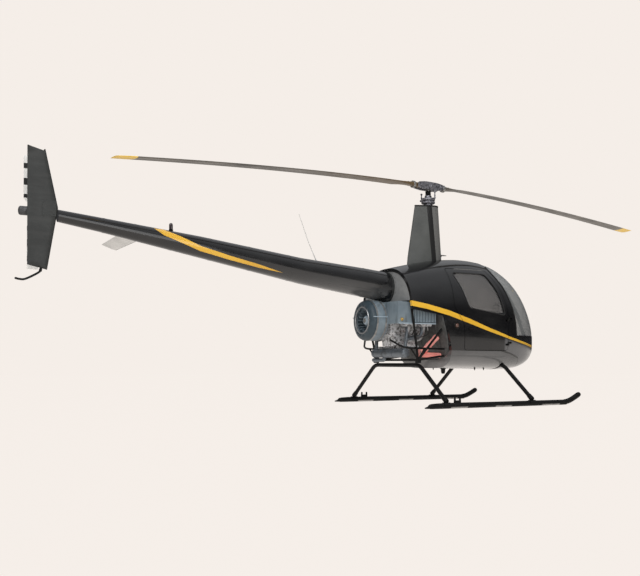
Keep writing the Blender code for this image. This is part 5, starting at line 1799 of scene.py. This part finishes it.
def build_controls():
    build_dials()
    build_stick()
    build_pedals()


def build_dials():
    """Instrument console with nine dials."""
    console = dress("instrument_console", cabin_trim)
    edge = console.modifiers.new("edges", "BEVEL")
    edge.width = 0.006
    edge.segments = 3
    edge.limit_method = "ANGLE"
    low, high = Vector((0.80, 0, 0.78)), Vector((0.92, 0, 1.08))
    up = (high - low).normalized()
    out = Vector((-up.z, 0, up.x))
    bezels, faces, marks = Shape(), Shape(), Shape()
    for share in (0.20, 0.50, 0.80):
        for y in (-0.105, 0.0, 0.105):
            centre = low.lerp(high, share) + Vector((0, y, 0)) + out * 0.0015
            radius = 0.040
            bezels.hoop(
                (
                    (-0.002, radius - 0.006), (-0.002, radius), (0.004, radius), (0.007, radius - 0.004),
                    (0.004, radius - 0.006),
                ),
                centre, out, 36,
            )
            faces.turn(((-0.001, radius - 0.005), (0.001, radius - 0.005)), centre, out, 36)
            across = Vector(LEFT)
            for k in range(11):
                a = math.radians(-140 + 28 * k)
                ray = across * math.sin(a) + up * math.cos(a)
                start = centre + out * 0.0014 + ray * 0.0265
                marks.tube([start, start + ray * 0.006], 0.0008, 6)
            a = math.radians(-70 + 160 * share + 300 * y)
            ray = across * math.sin(a) + up * math.cos(a)
            marks.tube([centre + out * 0.003, centre + out * 0.003 + ray * 0.024], 0.0011, 6)
    bezels.piece("dial_bezels", gear_paint)
    faces.piece("dial_faces", dial_black)
    marks.piece("dial_needles", dial_white)


def build_stick():
    stick = Shape()
    pivot, reach = (0.52, 0.0, 1.02), Vector((0.0, 0.30, 0.0))
    stick.tube([(0.466, 0.0, 0.513), (0.49, 0, 0.735), pivot], 0.014, 24)
    stick.tube([Vector(pivot) - reach, Vector(pivot) + reach], 0.011, 24)
    stick.turn(((-0.03, 0.017), (-0.026, 0.019), (0.026, 0.019), (0.03, 0.017)), pivot, LEFT, 28)
    stick.piece("cyclic_tubes", gear_paint, stands_for=["cyclic_stick"], bevel=0.001)
    grips = Shape()
    for side, _ in SIDES:
        top = (0.5205, side * 0.30, 1.035)
        grip = [top, (0.520, side * 0.302, 1.01), (0.514, side * 0.307, 0.95), (0.510, side * 0.31, 0.90)]
        grips.tube(smooth_rows(grip, 12), lambda t: 0.0150 + 0.0012 * math.sin(t * 75), 24)
        grips.ball(top, 0.016)
    grips.piece("cyclic_grips", rubber)


def build_pedals():
    for side, word in SIDES:
        x, z = 1.04, 0.56
        pedals = Shape().rod((x, side * 0.12, z), (x, side * 0.34, z), 0.009)
        pedals.box((1.022, side * 0.23 - 0.014, 0.512), (1.058, side * 0.23 + 0.014, 0.565))
        for y in (0.16, 0.30):
            pad = rounded(oblong(side * y, 0.031, 0.575, 0.678), 0.012, closed=True)
            pedals.slab(pad, 1.034, 1.046)
            pedals.rod((x, side * y, 0.555), (x, side * y, 0.60), 0.007)
            for k in range(6):
                z = 0.588 + 0.016 * k
                pedals.tube([(1.034, side * y - 0.025, z), (1.034, side * y + 0.025, z)], 0.0018, 8)
        pedals.piece("pedal_pair_" + word, hub_metal, stands_for=["pedals_" + word], bevel=0.001)


def build_lamps():
    for side, word in SIDES:
        x, z = -0.009, 0.896
        ring_line = (
            (0.0, 0.046), (0.008, 0.045), (0.020, 0.036), (0.022, 0.030), (0.018, 0.025), (0.0, 0.025),
        )
        housing = Shape().hoop(ring_line, (x, side * 0.5575, z), (0, side, 0), 40)
        housing.piece("lamp_housing_" + word, gear_paint)
        lens_line = ((0.0, 0.0255), (0.018, 0.0245), (0.026, 0.019), (0.0315, 0.011), (0.0325, 0.004))
        lens = Shape().turn(lens_line, (x, side * 0.5565, z), (0, side, 0), 36)
        lens.piece(
            "side_lamp_" + word, red_lens if side > 0 else amber_lens, stands_for=["position_lamp_" + word],
        )


def build_belly():
    drains = Shape()
    for x, y in ((0.42, -0.33), (0.55, -0.33), (0.30, 0.33)):
        drains.turn(((0.0, 0.010), (0.012, 0.009), (0.016, 0.006), (0.030, 0.005)), (x, y, 0.4235), DOWN, 20)
    drains.piece("belly_drains", gear_paint)
    stub = Shape()
    profile = ((-0.004, 0.040), (0.006, 0.038), (0.012, 0.027), (0.050, 0.024), (0.066, 0.016))
    stub.turn(profile, (0.21, 0, 0.4165), DOWN, 32)
    stub.piece("belly_stub", gear_paint)


# The cream of the backdrop and the floor
CREAM = (0.913, 0.855, 0.807)


def build_stage():
    bpy.context.scene.view_settings.view_transform = "Standard"
    ground = Shape().plate([tuple(p)[:2] for p in ring((0, 0, 0), 24.0, UP, 64)], -0.01, 0.0).thing()
    ground.name = "floor"
    pale = Finish("studio_floor", "pale", Roughness=0.9, Specular_IOR_Level=0.0)
    pale.coat((0.004, 0.004, 0.004))
    pale.put(pale.shader.inputs["Emission Color"], CREAM)
    pale.put(pale.shader.inputs["Emission Strength"], 1.0)
    ground.data.materials.append(pale.material)
    world = bpy.data.worlds.new("studio")
    bpy.context.scene.world = world
    world.use_nodes = True
    sky = Wiring(world.node_tree)
    height = sky.node("ShaderNodeSeparateXYZ", None, {0: sky.node("ShaderNodeTexCoord")}, out=2)
    reflected = sky.blend((0.035, 0.035, 0.038), (0.62, 0.63, 0.65), height.between(0.10, 0.75))
    seen = sky.node("ShaderNodeLightPath")
    sky.put(world.node_tree.nodes["Background"].inputs["Color"], sky.blend(reflected, CREAM, seen))
    lights = (
        ("key_softbox", (-7.0, -7.0, 9.0), 6.0, 680.0, (0.0, 0.0, 1.0), True),
        ("top_softbox", (0.5, 1.0, 8.0), 7.0, 300.0, (0.0, 0.0, 1.0), False),
        ("side_softbox", (-2.0, -9.0, 2.5), 5.0, 190.0, (-0.5, 0.0, 0.9), True),
        ("rim_softbox", (7.0, 8.0, 6.0), 8.0, 160.0, (0.0, 0.0, 1.0), False),
    )
    for name, place, width, power, target, mirrored in lights:
        lamp = bpy.data.lights.new(name, "AREA")
        lamp.size = width
        lamp.energy = power
        holder = bpy.data.objects.new(name, lamp)
        holder.location = place
        holder.rotation_euler = (Vector(target) - Vector(place)).to_track_quat("-Z", "Y").to_euler()
        holder.visible_glossy = mirrored
        bpy.context.scene.collection.objects.link(holder)


def build_camera():
    """The photograph's own view, from behind on the right at belly height."""
    yaw, pitch, roll = math.radians(59.594), math.radians(0.569), math.radians(-0.0645)
    view = Vector((math.cos(pitch) * math.cos(yaw), math.cos(pitch) * math.sin(yaw), math.sin(pitch)))
    right = Vector((math.sin(yaw), -math.cos(yaw), 0))
    up = right.cross(view)
    side = math.cos(roll) * right + math.sin(roll) * up
    top = -math.sin(roll) * right + math.cos(roll) * up
    # The photograph's size, focal length and optical middle, in pixels
    width, height, focal, middle_x, middle_y = 640, 576, 891.456, 359.79, 351.94
    data = bpy.data.cameras.new("camera")
    data.sensor_width = 36.0
    data.lens = 36.0 * focal / width
    data.shift_x = (width / 2 - middle_x) / width
    data.shift_y = (middle_y - height / 2) / width
    holder = bpy.data.objects.new("camera", data)
    turn = Matrix((side, top, -view)).transposed().to_4x4()
    holder.matrix_world = Matrix.Translation(Vector((-5.957, -8.569, 0.504)) + MAST) @ turn
    bpy.context.scene.collection.objects.link(holder)
    bpy.context.scene.camera = holder


build_camera()
build_stage()
build_cabin()
build_door_parts()
build_tail()
build_aerials()
build_mast()
build_rotor()
build_gear()
build_engine_bay()
build_seats()
build_controls()
build_lamps()
build_belly()

bpy.context.view_layer.update()
